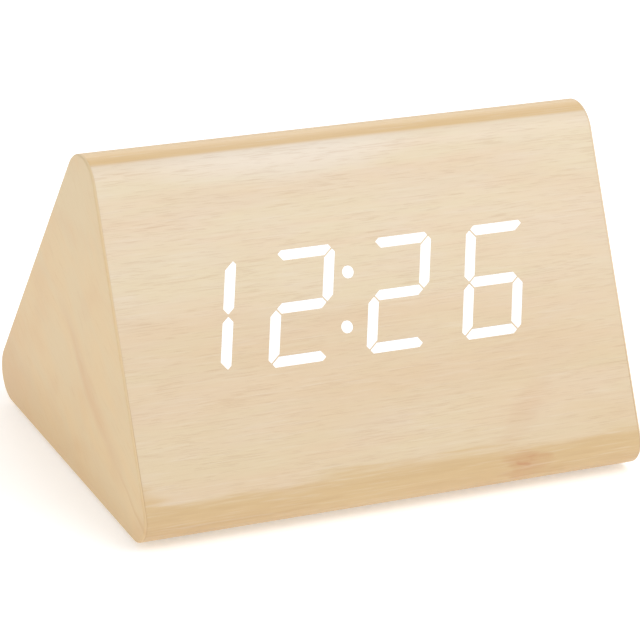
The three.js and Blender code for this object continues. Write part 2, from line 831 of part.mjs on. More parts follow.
function batteryDoor() {
  const webSpan = [baySpanY[0] + fitGap, baySpanY[0] + fitGap + tabWeb];
  const tabs = tabPlaces.flatMap((x) => [
    block(spread(x, tabWidth), webSpan, [tabBottom, doorCore]),
    block(spread(x, tabWidth), [doorSpanY[0] - tabReach, webSpan[1]], [tabBottom, tabTop]),
  ]);
  const latchFace = baySpanY[1] - latchInset;
  const latchFoot = doorBack - latchDrop;
  const latchSpanX = spread(bayMiddle, latchWidth);
  const latch = block(latchSpanX, [latchFace - latchThickness, latchFace], [latchFoot, doorCore]);
  const nose = block(
    latchSpanX,
    [latchFace - latchThickness / 2, latchFace + latchNose],
    [latchFoot, latchFoot + latchNoseHeight],
  );
  const grips = Array.from({ length: gripCount }, (_, i) => block(
    spread(bayMiddle, gripWidth),
    spread(doorSpanY[1] - gripInset - i * gripPitch, gripThickness),
    [doorCore, coverFace + gripHeight],
  ));
  const plate = prism(roundedRectangle(doorSpanX, doorSpanY, doorCornerRadius), [doorBack, coverFace]);
  return join(plate, ...tabs, latch, nose, ...grips);
}

// Batteries and contacts, each in the frame of its own cell: x runs from the spring to the flat contact
function cell() {
  const shoulder = cellLength - nubHeight;
  return turned([
    [0, 0],
    [cellRadius - jacketChamfer, 0],
    [cellRadius, jacketChamfer],
    [cellRadius, shoulder - jacketChamfer],
    [cellRadius - jacketChamfer, shoulder],
    [nubRadius, shoulder],
    [nubRadius, cellLength],
    [0, cellLength],
  ], roundSides).rotateY(Math.PI / 2);
}

// A cone-shaped coil of round wire, wound up from its base as one unbroken tube
function springCoil() {
  const rings = springTurns * springSteps;
  const points = Array.from({ length: rings + 1 }, (_, ring) => {
    const share = ring / rings;
    const angle = (2 * Math.PI * ring) / springSteps;
    const radius = springBaseRadius + (springTipRadius - springBaseRadius) * share;
    return Array.from({ length: springSides }, (__, side) => {
      const turn = (2 * Math.PI * side) / springSides;
      const reach = radius + springWireRadius * Math.sin(turn);
      const height = (springLength - springWireRadius) * share + springWireRadius * Math.cos(turn);
      return [reach * Math.cos(angle), reach * Math.sin(angle), height];
    });
  });
  const at = (ring, side) => ring * springSides + (side % springSides);
  const faces = [];
  for (let ring = 0; ring < rings; ring += 1) {
    for (let side = 0; side < springSides; side += 1) {
      faces.push(at(ring, side), at(ring, side + 1), at(ring + 1, side));
      faces.push(at(ring, side + 1), at(ring + 1, side + 1), at(ring + 1, side));
    }
  }
  for (let side = 1; side < springSides - 1; side += 1) {
    faces.push(at(0, 0), at(0, side + 1), at(0, side));
    faces.push(at(rings, 0), at(rings, side), at(rings, side + 1));
  }
  const geometry = new THREE.BufferGeometry();
  geometry.setAttribute('position', new THREE.Float32BufferAttribute(points.flat(2), 3));
  geometry.setIndex(faces);
  return geometry;
}

function batterySpring() {
  const plate = block(spread(0, contactSize), spread(0, contactSize), [-contactThickness, 0]);
  return join(plate, springCoil()).rotateY(Math.PI / 2);
}

function contactPlate() {
  const plate = block(spread(0, contactSize), spread(0, contactSize), [0, contactThickness]);
  const bump = disc(contactBumpRadius, [0, 0], [-contactBumpHeight, contactThickness / 2], smallSides);
  return join(plate, bump).rotateY(Math.PI / 2);
}

function batteryCell(i) {
  const group = new THREE.Group();
  group.position.set(bayMiddle, coverMiddle + (i - (cellCount - 1) / 2) * cellPitch, cellDepth);
  group.rotation.z = (i % 2) * Math.PI;
  const springFoot = -bayLength / 2 + fitGap + contactThickness;
  const cellFoot = springFoot + springLength + fitGap;
  const plateFoot = cellFoot + cellLength + fitGap + contactBumpHeight;
  const pieces = [
    [`battery_spring_${i + 1}`, batterySpring(), finishes.steel, springFoot],
    [`battery_${i + 1}`, cell(), finishes.jacket, cellFoot],
    [`contact_plate_${i + 1}`, contactPlate(), finishes.steel, plateFoot],
  ];
  pieces.forEach(([name, geometry, finish, x]) => {
    const mesh = named(name, geometry, finish);
    mesh.position.x = x;
    group.add(mesh);
  });
  return group;
}

// Buttons and the switches that they press
function button(place) {
  const top = coverFace + buttonRise;
  return turned([
    [0, buttonFoot],
    [flangeRadius, buttonFoot],
    [flangeRadius, buttonSeat],
    [buttonRadius, buttonSeat],
    [buttonRadius, top - buttonEdge],
    [buttonRadius - buttonEdge, top],
    [0, top],
  ], roundSides).translate(...place, 0);
}

function tactSwitch([x, y]) {
  const well = [switchTop - plungerSink - plungerRoom, switchTop + overrun];
  return carve(
    block(spread(x, switchSize), spread(y, switchSize), [mainSeat, switchTop]),
    disc(plungerRadius + pinGap, [x, y], well, smallSides),
  );
}

const tactPlunger = (place) => disc(plungerRadius, place, [switchTop - plungerSink, plungerTop], smallSides);

// Main board and what stands on it
function mainBoard() {
  const board = block(controlsSpanX, controlsSpanY, [mainBack, mainFace]);
  const holes = bosses.map(
    (place) => disc(smallShankRadius + pinGap, place, [mainBack - overrun, mainFace + overrun], holeSides),
  );
  return carve(join(board, ribbonSocket(mainSocketPlace, mainBack)), ...holes);
}

function powerJack() {
  const shoulder = coverBack - fitGap;
  const [x, y] = jackPlace;
  const housing = join(
    block(spread(x, jackSize), spread(y, jackSize), [mainSeat, shoulder]),
    disc(jackNoseRadius, jackPlace, [shoulder - jackFloor, coverFace - seatGap]),
  );
  const boreFloor = mainSeat + jackFloor;
  const bore = disc(jackBoreRadius, jackPlace, [boreFloor, overrun]);
  const pinHole = disc(jackPinRadius + pinGap, jackPlace, [boreFloor - jackPinSink, overrun], holeSides);
  return carve(housing, bore, pinHole);
}

function jackPin() {
  const foot = mainSeat + jackFloor - jackPinSink + seatGap;
  const tip = coverFace - jackPinDrop;
  return turned([
    [0, foot],
    [jackPinRadius, foot],
    [jackPinRadius, tip - jackPinRadius],
    [jackPinRadius / 2, tip],
    [0, tip],
  ], holeSides).translate(...jackPlace, 0);
}

function sounder() {
  const top = mainSeat + sounderHeight;
  return carve(
    disc(sounderRadius, sounderPlace, [mainSeat, top]),
    disc(sounderMouthRadius, sounderPlace, [top - sounderMouthDepth, top + overrun], holeSides),
  );
}

function microphone() {
  const top = coverBack - fitGap;
  const foot = top - microphoneHeight;
  const [x, y] = microphonePlace;
  const legs = spread(x, microphoneRadius).map(
    (legX) => block(spread(legX, legWidth), spread(y, legWidth), [mainSeat, foot + microphoneLip]),
  );
  return join(disc(microphoneRadius, microphonePlace, [foot, top], smallSides), ...legs);
}

function coinHolder() {
  const top = mainBack - seatGap;
  const floor = top - coinHolderFloor;
  const mouth = floor - seatGap - coinThickness;
  return turned([
    [0, floor],
    [coinRadius + fitGap, floor],
    [coinRadius + fitGap, mouth],
    [coinHolderRadius, mouth],
    [coinHolderRadius, top],
    [0, top],
  ], roundSides).translate(...coinPlace, 0);
}

function coinCell() {
  const top = mainBack - coinHolderFloor - 2 * seatGap;
  const foot = top - coinThickness;
  return turned([
    [0, foot],
    [coinRadius, foot],
    [coinRadius, top - coinStepHeight],
    [coinRadius - coinStep, top - coinStepHeight],
    [coinRadius - coinStep, top],
    [0, top],
  ], roundSides).translate(...coinPlace, 0);
}

const endSheet = (inset, span) => alongX(roundedSection(inset), span);

// The clock is put together from its pieces
body.add(
  named('mdf_front_panel', frontBoard(), finishes.board),
  named('mdf_back_panel', backBoard(), finishes.board),
  named('mdf_bottom_panel', mitredBoard(0), finishes.board),
  named('mdf_left_end', endSheet(boardFaceInset, [-endBoardOuter, -endBoardInner]), finishes.board),
  named('mdf_right_end', endSheet(boardFaceInset, [endBoardInner, endBoardOuter]), finishes.board),
  named('veneer_wrap', veneerWrap(), finishes.wood),
  named('left_end_veneer', endSheet(0, [-halfLength, -wrapHalf]), finishes.wood),
  named('right_end_veneer', endSheet(0, [wrapHalf, halfLength]), finishes.wood),
  named('ribbon_cable', ribbonCable(), finishes.ribbon),
);

const footPlaces = [flatFront + footSideInset, flatBack - footSideInset].flatMap(
  (y) => [-1, 1].map((side) => [side * (halfLength - footEndInset), y]),
);
footPlaces.forEach((place, i) => {
  body.add(named(`foot_${i + 1}`, disc(footRadius, place, [-footHeight, 0]), finishes.rubber));
});

front.add(
  named('segment_mask', segmentMask(), finishes.black),
  named('led_board', ledBoard(), finishes.circuit),
  named('controller_chip', controllerChip(), finishes.black),
  named('clock_crystal', clockCrystal(), finishes.steel),
  ...guides.map((guide) => named(guide.name, lightGuide(guide), finishes.glow)),
);

displayScrews.forEach(([x, y], i) => {
  const length = circuitThickness + flangeThickness + smallScrewBite + 2 * seatGap;
  const geometry = screw(smallShankRadius, length, smallHeadRadius, smallHeadHeight);
  const mesh = named(`display_screw_${i + 1}`, geometry, finishes.steel);
  mesh.position.set(x, y, circuitBack - seatGap);
  front.add(mesh);
});

back.add(
  named('rear_cover', rearCover(), finishes.black),
  named('battery_door', batteryDoor(), finishes.black),
  named('main_board', mainBoard(), finishes.circuit),
  named('power_jack', powerJack(), finishes.black),
  named('jack_pin', jackPin(), finishes.brass),
  named('sounder', sounder(), finishes.black),
  named('microphone', microphone(), finishes.steel),
  named('coin_cell_holder', coinHolder(), finishes.black),
  named('coin_cell', coinCell(), finishes.steel),
  ...Array.from({ length: cellCount }, (_, i) => batteryCell(i)),
);

buttonPlaces.forEach((place, i) => {
  back.add(
    named(buttonNames[i], button(place), finishes.black),
    named(`tact_switch_${i + 1}`, tactSwitch(place), finishes.steel),
    named(`tact_plunger_${i + 1}`, tactPlunger(place), finishes.black),
  );
});

bosses.forEach(([x, y], i) => {
  const geometry = screw(smallShankRadius, circuitThickness + bossBite, smallHeadRadius, smallHeadHeight);
  const mesh = named(`board_screw_${i + 1}`, geometry, finishes.steel);
  mesh.position.set(x, y, mainBack - seatGap);
  back.add(mesh);
});

coverScrews.forEach(([x, y], i) => {
  const length = coverThickness - coverHeadHeight + seatGap + coverScrewBite;
  const geometry = screw(coverShankRadius, length, coverHeadRadius, coverHeadHeight);
  const mesh = named(`cover_screw_${i + 1}`, geometry, finishes.steel);
  mesh.position.set(x, y, coverFace - coverHeadHeight);
  mesh.rotation.x = Math.PI;
  back.add(mesh);
});

export default clock;
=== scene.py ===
# %% [markdown]
# # A wooden clock with its time shining through the wood
#
# The real clock is a three-sided wooden box, 13 cm long. Its boards are hidden under a pale film
# of wood, and white segments shine through it. The back holds a black moulding with the battery
# door, three buttons and a power socket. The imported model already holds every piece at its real
# size, so this script only gives each piece its finest form and its finish.

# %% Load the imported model
import json
import math

import bpy
import numpy as np
from mathutils import Matrix, Vector


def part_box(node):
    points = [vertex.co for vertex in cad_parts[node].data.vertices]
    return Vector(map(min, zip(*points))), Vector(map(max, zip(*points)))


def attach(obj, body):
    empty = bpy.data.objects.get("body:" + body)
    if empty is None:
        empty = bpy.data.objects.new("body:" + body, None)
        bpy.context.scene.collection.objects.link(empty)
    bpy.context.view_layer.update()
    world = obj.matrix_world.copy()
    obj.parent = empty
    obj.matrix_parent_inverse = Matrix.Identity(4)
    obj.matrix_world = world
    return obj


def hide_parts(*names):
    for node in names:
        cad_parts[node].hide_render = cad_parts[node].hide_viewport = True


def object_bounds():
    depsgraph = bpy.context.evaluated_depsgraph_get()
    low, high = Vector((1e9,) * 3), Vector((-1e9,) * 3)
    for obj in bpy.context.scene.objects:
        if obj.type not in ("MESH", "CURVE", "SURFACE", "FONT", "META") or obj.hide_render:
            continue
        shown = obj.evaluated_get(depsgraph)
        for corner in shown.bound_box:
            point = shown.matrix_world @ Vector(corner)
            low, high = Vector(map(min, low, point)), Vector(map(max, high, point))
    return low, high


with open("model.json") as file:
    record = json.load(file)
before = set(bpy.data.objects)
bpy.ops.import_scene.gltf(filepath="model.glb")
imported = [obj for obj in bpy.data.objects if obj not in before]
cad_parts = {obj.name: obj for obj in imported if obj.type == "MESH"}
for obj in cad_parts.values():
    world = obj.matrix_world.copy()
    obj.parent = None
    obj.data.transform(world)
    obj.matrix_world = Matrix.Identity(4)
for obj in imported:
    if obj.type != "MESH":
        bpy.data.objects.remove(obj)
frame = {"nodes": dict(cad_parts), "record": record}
cad_low, cad_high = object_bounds()
MM = 0.001
print("nodes:", len(frame["nodes"]), "box in mm:", [round(size / MM, 2) for size in cad_high - cad_low])

# %% [markdown]
# ## The sizes that every piece shares
#
# The case is a triangle run along the clock, with rounded edges. Each slope gets axes of its
# own: x along the clock, y up the slope and z straight out of the wood. A piece on a slope can
# then be drawn flat, in millimetres, and laid on the slope at the end. The alternative, turning
# finished objects, would leave their patterns in a turned frame.

# %% The case's section and the two slopes
SECTION_BASE = 98.5
SECTION_HEIGHT = 87.3
FRONT_RADIUS = 6
BACK_RADIUS = 7.5
TOP_RADIUS = 8.5
FILM = 0.6
BASE_ANGLE = math.atan2(SECTION_HEIGHT, SECTION_BASE / 2)
SLOPE_LENGTH = math.hypot(SECTION_HEIGHT, SECTION_BASE / 2)
HALF_LENGTH = (cad_high.x - cad_low.x) / 2 / MM
LIFT = (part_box("foot_1")[1].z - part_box("foot_1")[0].z) / MM
CORNER_STEPS = 24
SAME_POINT = 1e-5


def unit(vectors):
    """Each vector over its own length."""
    return vectors / np.linalg.norm(vectors, axis=-1, keepdims=True)


def eased(points, radii, steps=5, closed=False):
    """A line of points with its corners rounded. Each corner turns into an arc that leaves the
    incoming side at the radius times the tangent of half the turn, and swings through the turn."""
    points = np.array(points, float)
    radii = np.broadcast_to(np.array(radii, float), len(points)).copy()
    if not closed:
        radii[[0, -1]] = 0
    incoming = unit(points - np.roll(points, 1, axis=0))
    outgoing = np.roll(incoming, -1, axis=0)
    cross = incoming[:, 0] * outgoing[:, 1] - incoming[:, 1] * outgoing[:, 0]
    turn = np.arctan2(cross, (incoming * outgoing).sum(1))
    side = np.stack([-incoming[:, 1], incoming[:, 0]], 1) * np.sign(turn)[:, None]
    start = points - incoming * (radii * np.tan(np.abs(turn) / 2))[:, None]
    swing = np.abs(turn)[:, None] * np.linspace(0, 1, steps + 1)
    ahead = np.sin(swing)[..., None] * incoming[:, None]
    across = (1 - np.cos(swing))[..., None] * side[:, None]
    line = (start[:, None] + radii[:, None, None] * (ahead + across)).reshape(-1, 2)
    gaps = np.linalg.norm(line - np.roll(line, 1, axis=0), axis=1)
    gaps[0] = gaps[0] if closed else 1
    return line[gaps > SAME_POINT]


def case_outline():
    """The section seen from the right-hand end, y to the back and z up: a triangle with rounded
    corners, moved so that it is centred from front to back and stands on its feet."""
    corners = [(-SECTION_BASE / 2, 0), (SECTION_BASE / 2, 0), (0, SECTION_HEIGHT)]
    line = eased(corners, [FRONT_RADIUS, BACK_RADIUS, TOP_RADIUS], CORNER_STEPS, closed=True)
    shift = -(line[:, 0].min() + line[:, 0].max()) / 2
    return line + [shift, LIFT], shift


def slope(side):
    """Origin and axes of a slope, side -1 for the front and 1 for the back."""
    across, up = math.cos(BASE_ANGLE), math.sin(BASE_ANGLE)
    origin = np.array([0, side * SECTION_BASE / 2 + shift, LIFT])
    axes = np.array([[-side, 0, 0], [0, -side * across, up], [0, side * up, across]])
    return origin, axes


outline, shift = case_outline()
FLAT = (np.zeros(3), np.eye(3))
FRONT = slope(-1)
BACK = slope(1)
print("slope length in mm:", round(SLOPE_LENGTH, 3), "points round the case:", len(outline))


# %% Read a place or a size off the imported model
def limits(node, place):
    """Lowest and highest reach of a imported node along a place's axes, in millimetres."""
    mesh = frame["nodes"][node].data
    points = np.empty(len(mesh.vertices) * 3)
    mesh.vertices.foreach_get("co", points)
    origin, axes = place
    local = (points.reshape(-1, 3) / MM - origin) @ axes.T
    return local.min(0), local.max(0)


def middle(node, place):
    """The point halfway between a node's lowest and highest reach."""
    low, high = limits(node, place)
    return (low + high) / 2


def span(node, place, axis):
    """A node's reach along one axis."""
    low, high = limits(node, place)
    return low[axis], high[axis]


def spread(centre, size):
    """The two ends of a length set evenly about its middle."""
    return centre - size / 2, centre + size / 2


def wider(ends, amount):
    """A span with both its ends moved out."""
    return ends[0] - amount, ends[1] + amount


FILM_HALF = limits("veneer_wrap", FLAT)[1][0]
print("mask, low and high:", *(np.round(end, 2) for end in limits("segment_mask", FRONT)))

# %% [markdown]
# ## Forms as arrays
#
# Nearly every piece here is a loop of points carried along a wall: the section along the clock,
# a rounded rectangle up through a plate, a circle up a profile as on a lathe. So one function
# turns a stack of loops into a closed form, and numpy works out all the points at once. Only a
# hole that crosses such a form needs Blender's Boolean, which cuts one closed mesh from another.


# %% A closed form from a stack of loops
def outward(points, faces):
    """The same form with its faces turned out: the pyramids from the origin to the faces have a
    negative volume in all if the faces look inwards."""
    volume = 0
    for group in faces:
        corner = points[group]
        for i in range(1, group.shape[1] - 1):
            volume += np.einsum("ij,ij->", corner[:, 0], np.cross(corner[:, i], corner[:, i + 1]))
    return points, [group if volume > 0 else group[:, ::-1] for group in faces]


def stack(rings, tips=(None, None), endless=False):
    """A closed form from loops of points, an array of loops by points by 3. Neighbouring loops
    are joined by quads. A flat face shuts each end, or a fan of triangles where there is a tip."""
    rows, columns = rings.shape[:2]
    row, column = np.meshgrid(np.arange(rows if endless else rows - 1), np.arange(columns), indexing="ij")
    here, ahead, beside = row * columns, (row + 1) % rows * columns, (column + 1) % columns
    faces = [np.stack([here + column, here + beside, ahead + beside, ahead + column], -1).reshape(-1, 4)]
    points = [rings.reshape(-1, 3)]
    turn = np.arange(columns)
    loops = [] if endless else [turn[::-1], turn + (rows - 1) * columns]
    for loop, tip in zip(loops, tips):
        if tip is None:
            faces.append(loop[None])
            continue
        fan = np.full(columns, sum(map(len, points)))
        faces.append(np.stack([loop, np.roll(loop, -1), fan], 1))
        points.append(np.array([tip], float))
    return outward(np.concatenate(points), faces)


def together(*forms):
    """Several forms as one, their faces renumbered."""
    points, faces, count = [], [], 0
    for form_points, form_faces in forms:
        points.append(form_points)
        faces += [group + count for group in form_faces]
        count += len(form_points)
    return np.concatenate(points), faces


# %% Loops carried up a wall
OVERRUN = 1
LIP_STEPS = 5


def grown(loop, amounts):
    """Copies of a closed anticlockwise loop with every side moved out by each amount: a point
    moves along the sum of its two sides' normals, over one plus the cosine between the sides."""
    before = unit(loop - np.roll(loop, 1, axis=0))
    after = np.roll(before, -1, axis=0)
    normals = np.stack([before[:, 1] + after[:, 1], -before[:, 0] - after[:, 0]], 1)
    mitre = normals / (1 + (before * after).sum(1, keepdims=True))
    return loop + np.asarray(amounts, float)[:, None, None] * mitre


def carried(loop, wall):
    """A loop carried up a wall of (growth, height) pairs. Twice its area is the sum of the cross
    products of neighbouring points, and a loop whose area is negative is turned round first."""
    loop, wall = np.array(loop, float), np.array(wall, float)
    ahead = np.roll(loop, -1, axis=0)
    if (loop[:, 0] * ahead[:, 1] - loop[:, 1] * ahead[:, 0]).sum() < 0:
        loop = loop[::-1]
    rings = grown(loop, wall[:, 0])
    heights = np.broadcast_to(wall[:, 1, None, None], (*rings.shape[:2], 1))
    return stack(np.concatenate([rings, heights], -1))


def straight(loop, low, high, growth=0):
    """A loop carried straight up, its sides moved out by the growth."""
    return carried(loop, [(growth, low), (growth, high)])


def slab(loop, low, high, top=0.2, bottom=0.1):
    """A plate with rounded rims: its wall runs out along the underside, up and in over the top."""
    wall = [(-2 * bottom, low), (0, low), (0, high), (-2 * top, high)]
    return carried(loop, eased(wall, [0, bottom, top, 0], 4))


def opening(loop, deep, surface, lip):
    """A cutter that leaves a rounded rim: straight up, then out along a quarter circle of the
    lip's radius, and on past the surface by the overrun, so that no two faces coincide."""
    swing = np.linspace(0, np.pi / 2, LIP_STEPS)
    rim = np.stack([lip * (1 - np.cos(swing)), surface - lip + lip * np.sin(swing)], 1)
    return carried(loop, [(0, deep), *rim, (lip, surface + OVERRUN)])


def rectangle(span_x, span_y, radius=0, steps=6):
    """A rectangle's corners, anticlockwise, rounded if there is a radius."""
    (left, right), (low, high) = span_x, span_y
    corners = [(left, low), (right, low), (right, high), (left, high)]
    return eased(corners, radius, steps, closed=True) if radius else np.array(corners, float)


def circle(centre, radius, sides=32):
    """Points round a centre, anticlockwise."""
    angle = np.linspace(0, 2 * np.pi, sides, endpoint=False)
    return np.array(centre)[:2] + radius * np.stack([np.cos(angle), np.sin(angle)], 1)


def turned(profile, centre=(0, 0), sides=64, endless=False):
    """A lathe form round an upright axis, from a profile of (radius, height) pairs. A profile
    that starts or ends on the axis gets a tip there."""
    profile = np.array(profile, float)
    tips = [[*centre[:2], height] if radius < SAME_POINT else None for radius, height in profile[[0, -1]]]
    rim = profile[profile[:, 0] > SAME_POINT]
    angle = np.linspace(0, 2 * np.pi, sides, endpoint=False)
    round_axis = np.stack([np.cos(angle), np.sin(angle), np.zeros(sides)], 1)
    rings = rim[:, 0, None, None] * round_axis + [*centre[:2], 0] + rim[:, 1, None, None] * [0, 0, 1]
    return stack(rings, tips, endless)


def drum(radius, low, high, bottom=0, top=0, centre=(0, 0), sides=64, steps=5):
    """A round bar standing on its end, with both rims rounded."""
    profile = [(0, low), (radius, low), (radius, high), (0, high)]
    return turned(eased(profile, [0, bottom, top, 0], steps), centre, sides)


print("points in a plain disc:", len(drum(1, 0, 1)[0]))

# %% [markdown]
# ## From forms to pieces
#
# A form becomes a mesh that lies flat, in millimetres, while Boolean modifiers cut and join it,
# each applied at once. Cutting it on its slope would be shorter to write, but there the flat
# faces are no longer exactly flat and cuts that meet go wrong. A finished piece is moved to its
# place in metres, with its object at the origin. Edges over about 30 degrees are marked sharp,
# and a Weighted Normal modifier keeps large flats looking flat right up to their rounded rims.


# %% Pieces, cuts and joins
def piece_of(name, form):
    """A mesh object from a form, still in the form's own millimetres."""
    points, faces = form
    mesh = bpy.data.meshes.new(name)
    mesh.from_pydata(points, [], [face for group in faces for face in group.tolist()])
    mesh.update()
    made = bpy.data.objects.new(name, mesh)
    bpy.context.scene.collection.objects.link(made)
    return made


def laid(form, place):
    """A form drawn on a slope, as points of the clock: along the place's axes from its origin."""
    points, faces = form
    origin, axes = place
    return points @ axes + origin, faces


def worked(piece, form, operation):
    """The piece after a Boolean with a form, applied."""
    tool = piece_of("tool", form)
    change = piece.modifiers.new("Cut", "BOOLEAN")
    change.object = tool
    change.operation = operation
    change.solver = "EXACT"
    mesh = bpy.data.meshes.new_from_object(piece.evaluated_get(bpy.context.evaluated_depsgraph_get()))
    piece.modifiers.clear()
    piece.data, old = mesh, piece.data
    bpy.data.meshes.remove(old)
    mesh.name = piece.name
    bpy.data.meshes.remove(tool.data)
    return piece


def carved(piece, *forms):
    """The piece with each form cut out of it."""
    for form in forms:
        worked(piece, form, "DIFFERENCE")
    return piece


def fused(piece, *forms):
    """The piece with each form joined to it."""
    for form in forms:
        worked(piece, form, "UNION")
    return piece


def finished(piece, place, body, slot, material, *replaced, sharp=32):
    """The piece moved to its place, in metres, with its shading, its finish and what it stands
    for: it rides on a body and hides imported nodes."""
    points = np.empty(len(piece.data.vertices) * 3)
    piece.data.vertices.foreach_get("co", points)
    origin, axes = place
    piece.data.vertices.foreach_set("co", ((points.reshape(-1, 3) @ axes + origin) * MM).ravel())
    piece.data.shade_smooth()
    piece.data.set_sharp_from_angle(angle=math.radians(sharp))
    flat_rims = piece.modifiers.new("Flat rims", "WEIGHTED_NORMAL")
    flat_rims.keep_sharp = True
    piece.data.materials.clear()
    piece.data.materials.append(material)
    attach(piece, body)
    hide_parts(*replaced)
    print(piece.name, "faces:", len(piece.data.polygons))
    return piece

# %% [markdown]
# ## Finishes as sums
#
# A finish is a small network of nodes. Written as Python sums it stays readable: a Wire stands
# for a value in the network, and adding or multiplying it adds a Math node. Patterns are worked
# out from Object coordinates in millimetres, so their sizes are real and nothing needs unwrapping.


# %% A network of nodes behind Python sums
class Wire:
    """A value inside a finish. A sum with it adds a Math node, with plain numbers on either side."""

    def __init__(self, finish, socket):
        self.finish, self.socket = finish, socket

    def maths(self, operation, *values):
        """The result of a Math node on these values."""
        return self.finish.node("ShaderNodeMath", {"operation": operation}, dict(enumerate(values)))

    def __add__(self, other):
        return self.maths("ADD", self, other)

    def __sub__(self, other):
        return self.maths("SUBTRACT", self, other)

    def __rsub__(self, other):
        return self.maths("SUBTRACT", other, self)

    def __mul__(self, other):
        return self.maths("MULTIPLY", self, other)

    __radd__ = __add__
    __rmul__ = __mul__

    def size(self):
        """The value without its sign."""
        return self.maths("ABSOLUTE", self)

    def wave(self, length):
        """A sine between minus one and one that repeats after the length."""
        return self.maths("SINE", self * (2 * math.pi / length))

    def rising(self, low, high):
        """Nought below one value and one above another, with a smooth step between them."""
        inputs = {"Value": self, "From Min": low, "From Max": high}
        return self.finish.node("ShaderNodeMapRange", {"interpolation_type": "SMOOTHSTEP"}, inputs)

    def falling(self, low, high):
        """One below one value and nought above another."""
        return 1 - self.rising(low, high)


class Finish:
    """A material being wired. Its place is the Object coordinate in millimetres."""

    def __init__(self, name):
        self.material = bpy.data.materials.new(name)
        self.material.use_nodes = True
        self.tree = self.material.node_tree
        self.tree.nodes.clear()
        spot = self.node("ShaderNodeTexCoord", output="Object")
        self.place = self.node("ShaderNodeVectorMath", {"operation": "SCALE"}, {0: spot, "Scale": 1 / MM})
        split = self.node("ShaderNodeSeparateXYZ", inputs={0: self.place})
        self.x, self.y, self.z = (Wire(self, socket) for socket in split.socket.node.outputs)

    def node(self, kind, settings=None, inputs=None, output=0):
        """A new node. Its settings come first, then the values or links of its sockets."""
        made = self.tree.nodes.new(kind)
        for setting, value in (settings or {}).items():
            setattr(made, setting, value)
        for socket, value in (inputs or {}).items():
            if isinstance(value, Wire):
                self.tree.links.new(value.socket, made.inputs[socket])
            else:
                made.inputs[socket].default_value = value
        return Wire(self, made.outputs[output]) if made.outputs else None

    def vector(self, operation, first, second, output="Vector"):
        """A Vector Math node on two vectors."""
        return self.node("ShaderNodeVectorMath", {"operation": operation}, {0: first, 1: second}, output)

    def joined(self, x, y, z):
        """Three values as one vector."""
        return self.node("ShaderNodeCombineXYZ", inputs={"X": x, "Y": y, "Z": z})

    def noise(self, grain, detail=2, roughness=0.5, place=None, distortion=0.0):
        """Noise between nought and one whose specks measure the given millimetres along x, y, z."""
        stretched = self.vector("DIVIDE", place or self.place, grain)
        inputs = {"Vector": stretched, "Scale": 1, "Detail": detail, "Roughness": roughness,
                  "Distortion": distortion}
        return self.node("ShaderNodeTexNoise", inputs=inputs)

    def blend(self, share, first, second):
        """A Mix node on two colours: the first where the share is nought, the second where it is
        one. Its colour sockets are the seventh and eighth, and its colour result the third."""
        return self.node("ShaderNodeMix", {"data_type": "RGBA"}, {0: share, 6: first, 7: second}, 2)

    def shaded(self, height=None, depth=0.0, **sockets):
        """The finished material: a shader with these sockets, and a bump where a height is given.
        The height runs from nought to one over the depth, in millimetres."""
        inputs = {name.replace("_", " "): value for name, value in sockets.items()}
        if height is not None:
            bump = {"Height": height, "Distance": depth * MM, "Strength": 1.0}
            inputs["Normal"] = self.node("ShaderNodeBump", inputs=bump)
        shader = self.node("ShaderNodeBsdfPrincipled", inputs=inputs)
        self.node("ShaderNodeOutputMaterial", inputs={"Surface": shader})
        print(self.material.name, "nodes:", len(self.tree.nodes))
        return self.material


def shade(red, green, blue):
    """A colour as the renderer counts light, from the values 0 to 255 that a picture shows. The
    numbers are those of the usual screen curve: straight near black, and a power above."""
    levels = np.array([red, green, blue]) / 255
    light_levels = np.where(levels <= 0.04045, levels / 12.92, ((levels + 0.055) / 1.055) ** 2.4)
    return (*light_levels.tolist(), 1.0)


def mottled(mask, texture, depth):
    """A mask made uneven: the mask times one plus the depth times how far the texture is over a
    half."""
    return mask * (1 - depth / 2 + texture * depth)


# %% [markdown]
# ## Wood
#
# The film is pale, with faint wide bands of a pinker and a greener cream along the clock, and
# short pores pressed into it that show a dark and a light side. Over the rounded edges it is
# smoother and more golden, partly its own tone and partly painted shade for the duller
# reflection there, and it grows more golden down the slope as painted shade. A painted sheen, a
# pale highlight painted into the colour, lies under the top edge, and a small brown knot shows
# low on the right. Noise stretched along x gives bands and pores at their real lengths. A
# photograph of wood would look sharper, but would repeat and could not be made from nothing.

# %% Tones of the wood round the case
CREAM = shade(220, 204, 174)
PINK_CREAM = shade(221, 200, 172)
HAZE = shade(220, 203, 185)
# PALE is the tone of the grain's light streaks and also of the painted sheen, a highlight painted into the
# colour under the top edge.
PALE = shade(227, 217, 204)
GOLD = shade(202, 169, 118)
LIGHT_GOLD = shade(205, 173, 122)
# TOP_GOLD and the lower golds are lit and shaded copies of one gold: the top one brighter and warmer,
# painted for the light on the top edge.
TOP_GOLD = shade(212, 175, 114)
DEEP_GOLD = shade(184, 141, 90)
KNOT_BROWN = shade(186, 126, 84)
PORE_BROWN = shade(188, 153, 118)

# %% Where a point lies on the case, in millimetres
FRONT_SKIN = (-6.0, -3.0)
SLOPE_SKIN = (-3.6, -3.0)
GOLD_START = 0.53
# The lower fade brings the gold a little up onto the flat as painted shade, softening the shading edge where
# the lower rounding starts.
LOWER_FADE = (-1.5, 4.5)
UPPER_FADE = (-0.6, 0.8)
SOLE_FADE = (0.02, 0.3)


def on_slope(finish, place):
    """How far up a slope and how far out of it a point lies: the dot products of its offset from
    the slope's origin with the slope's axes."""
    origin, (_, up, out) = place
    offset = finish.vector("SUBTRACT", finish.place, origin.tolist())
    return [finish.vector("DOT_PRODUCT", offset, axis.tolist(), "Value") for axis in (up, out)]


def pale_reach(radius):
    """The heights up a slope between which its wood is pale. It leaves its lower rounding at the
    radius times the tangent of half the turn, and the pale wood ends partway over the top one."""
    start = radius * math.tan((math.pi - BASE_ANGLE) / 2)
    end = SLOPE_LENGTH - TOP_RADIUS * math.tan(BASE_ANGLE) + TOP_RADIUS * GOLD_START
    return start, end


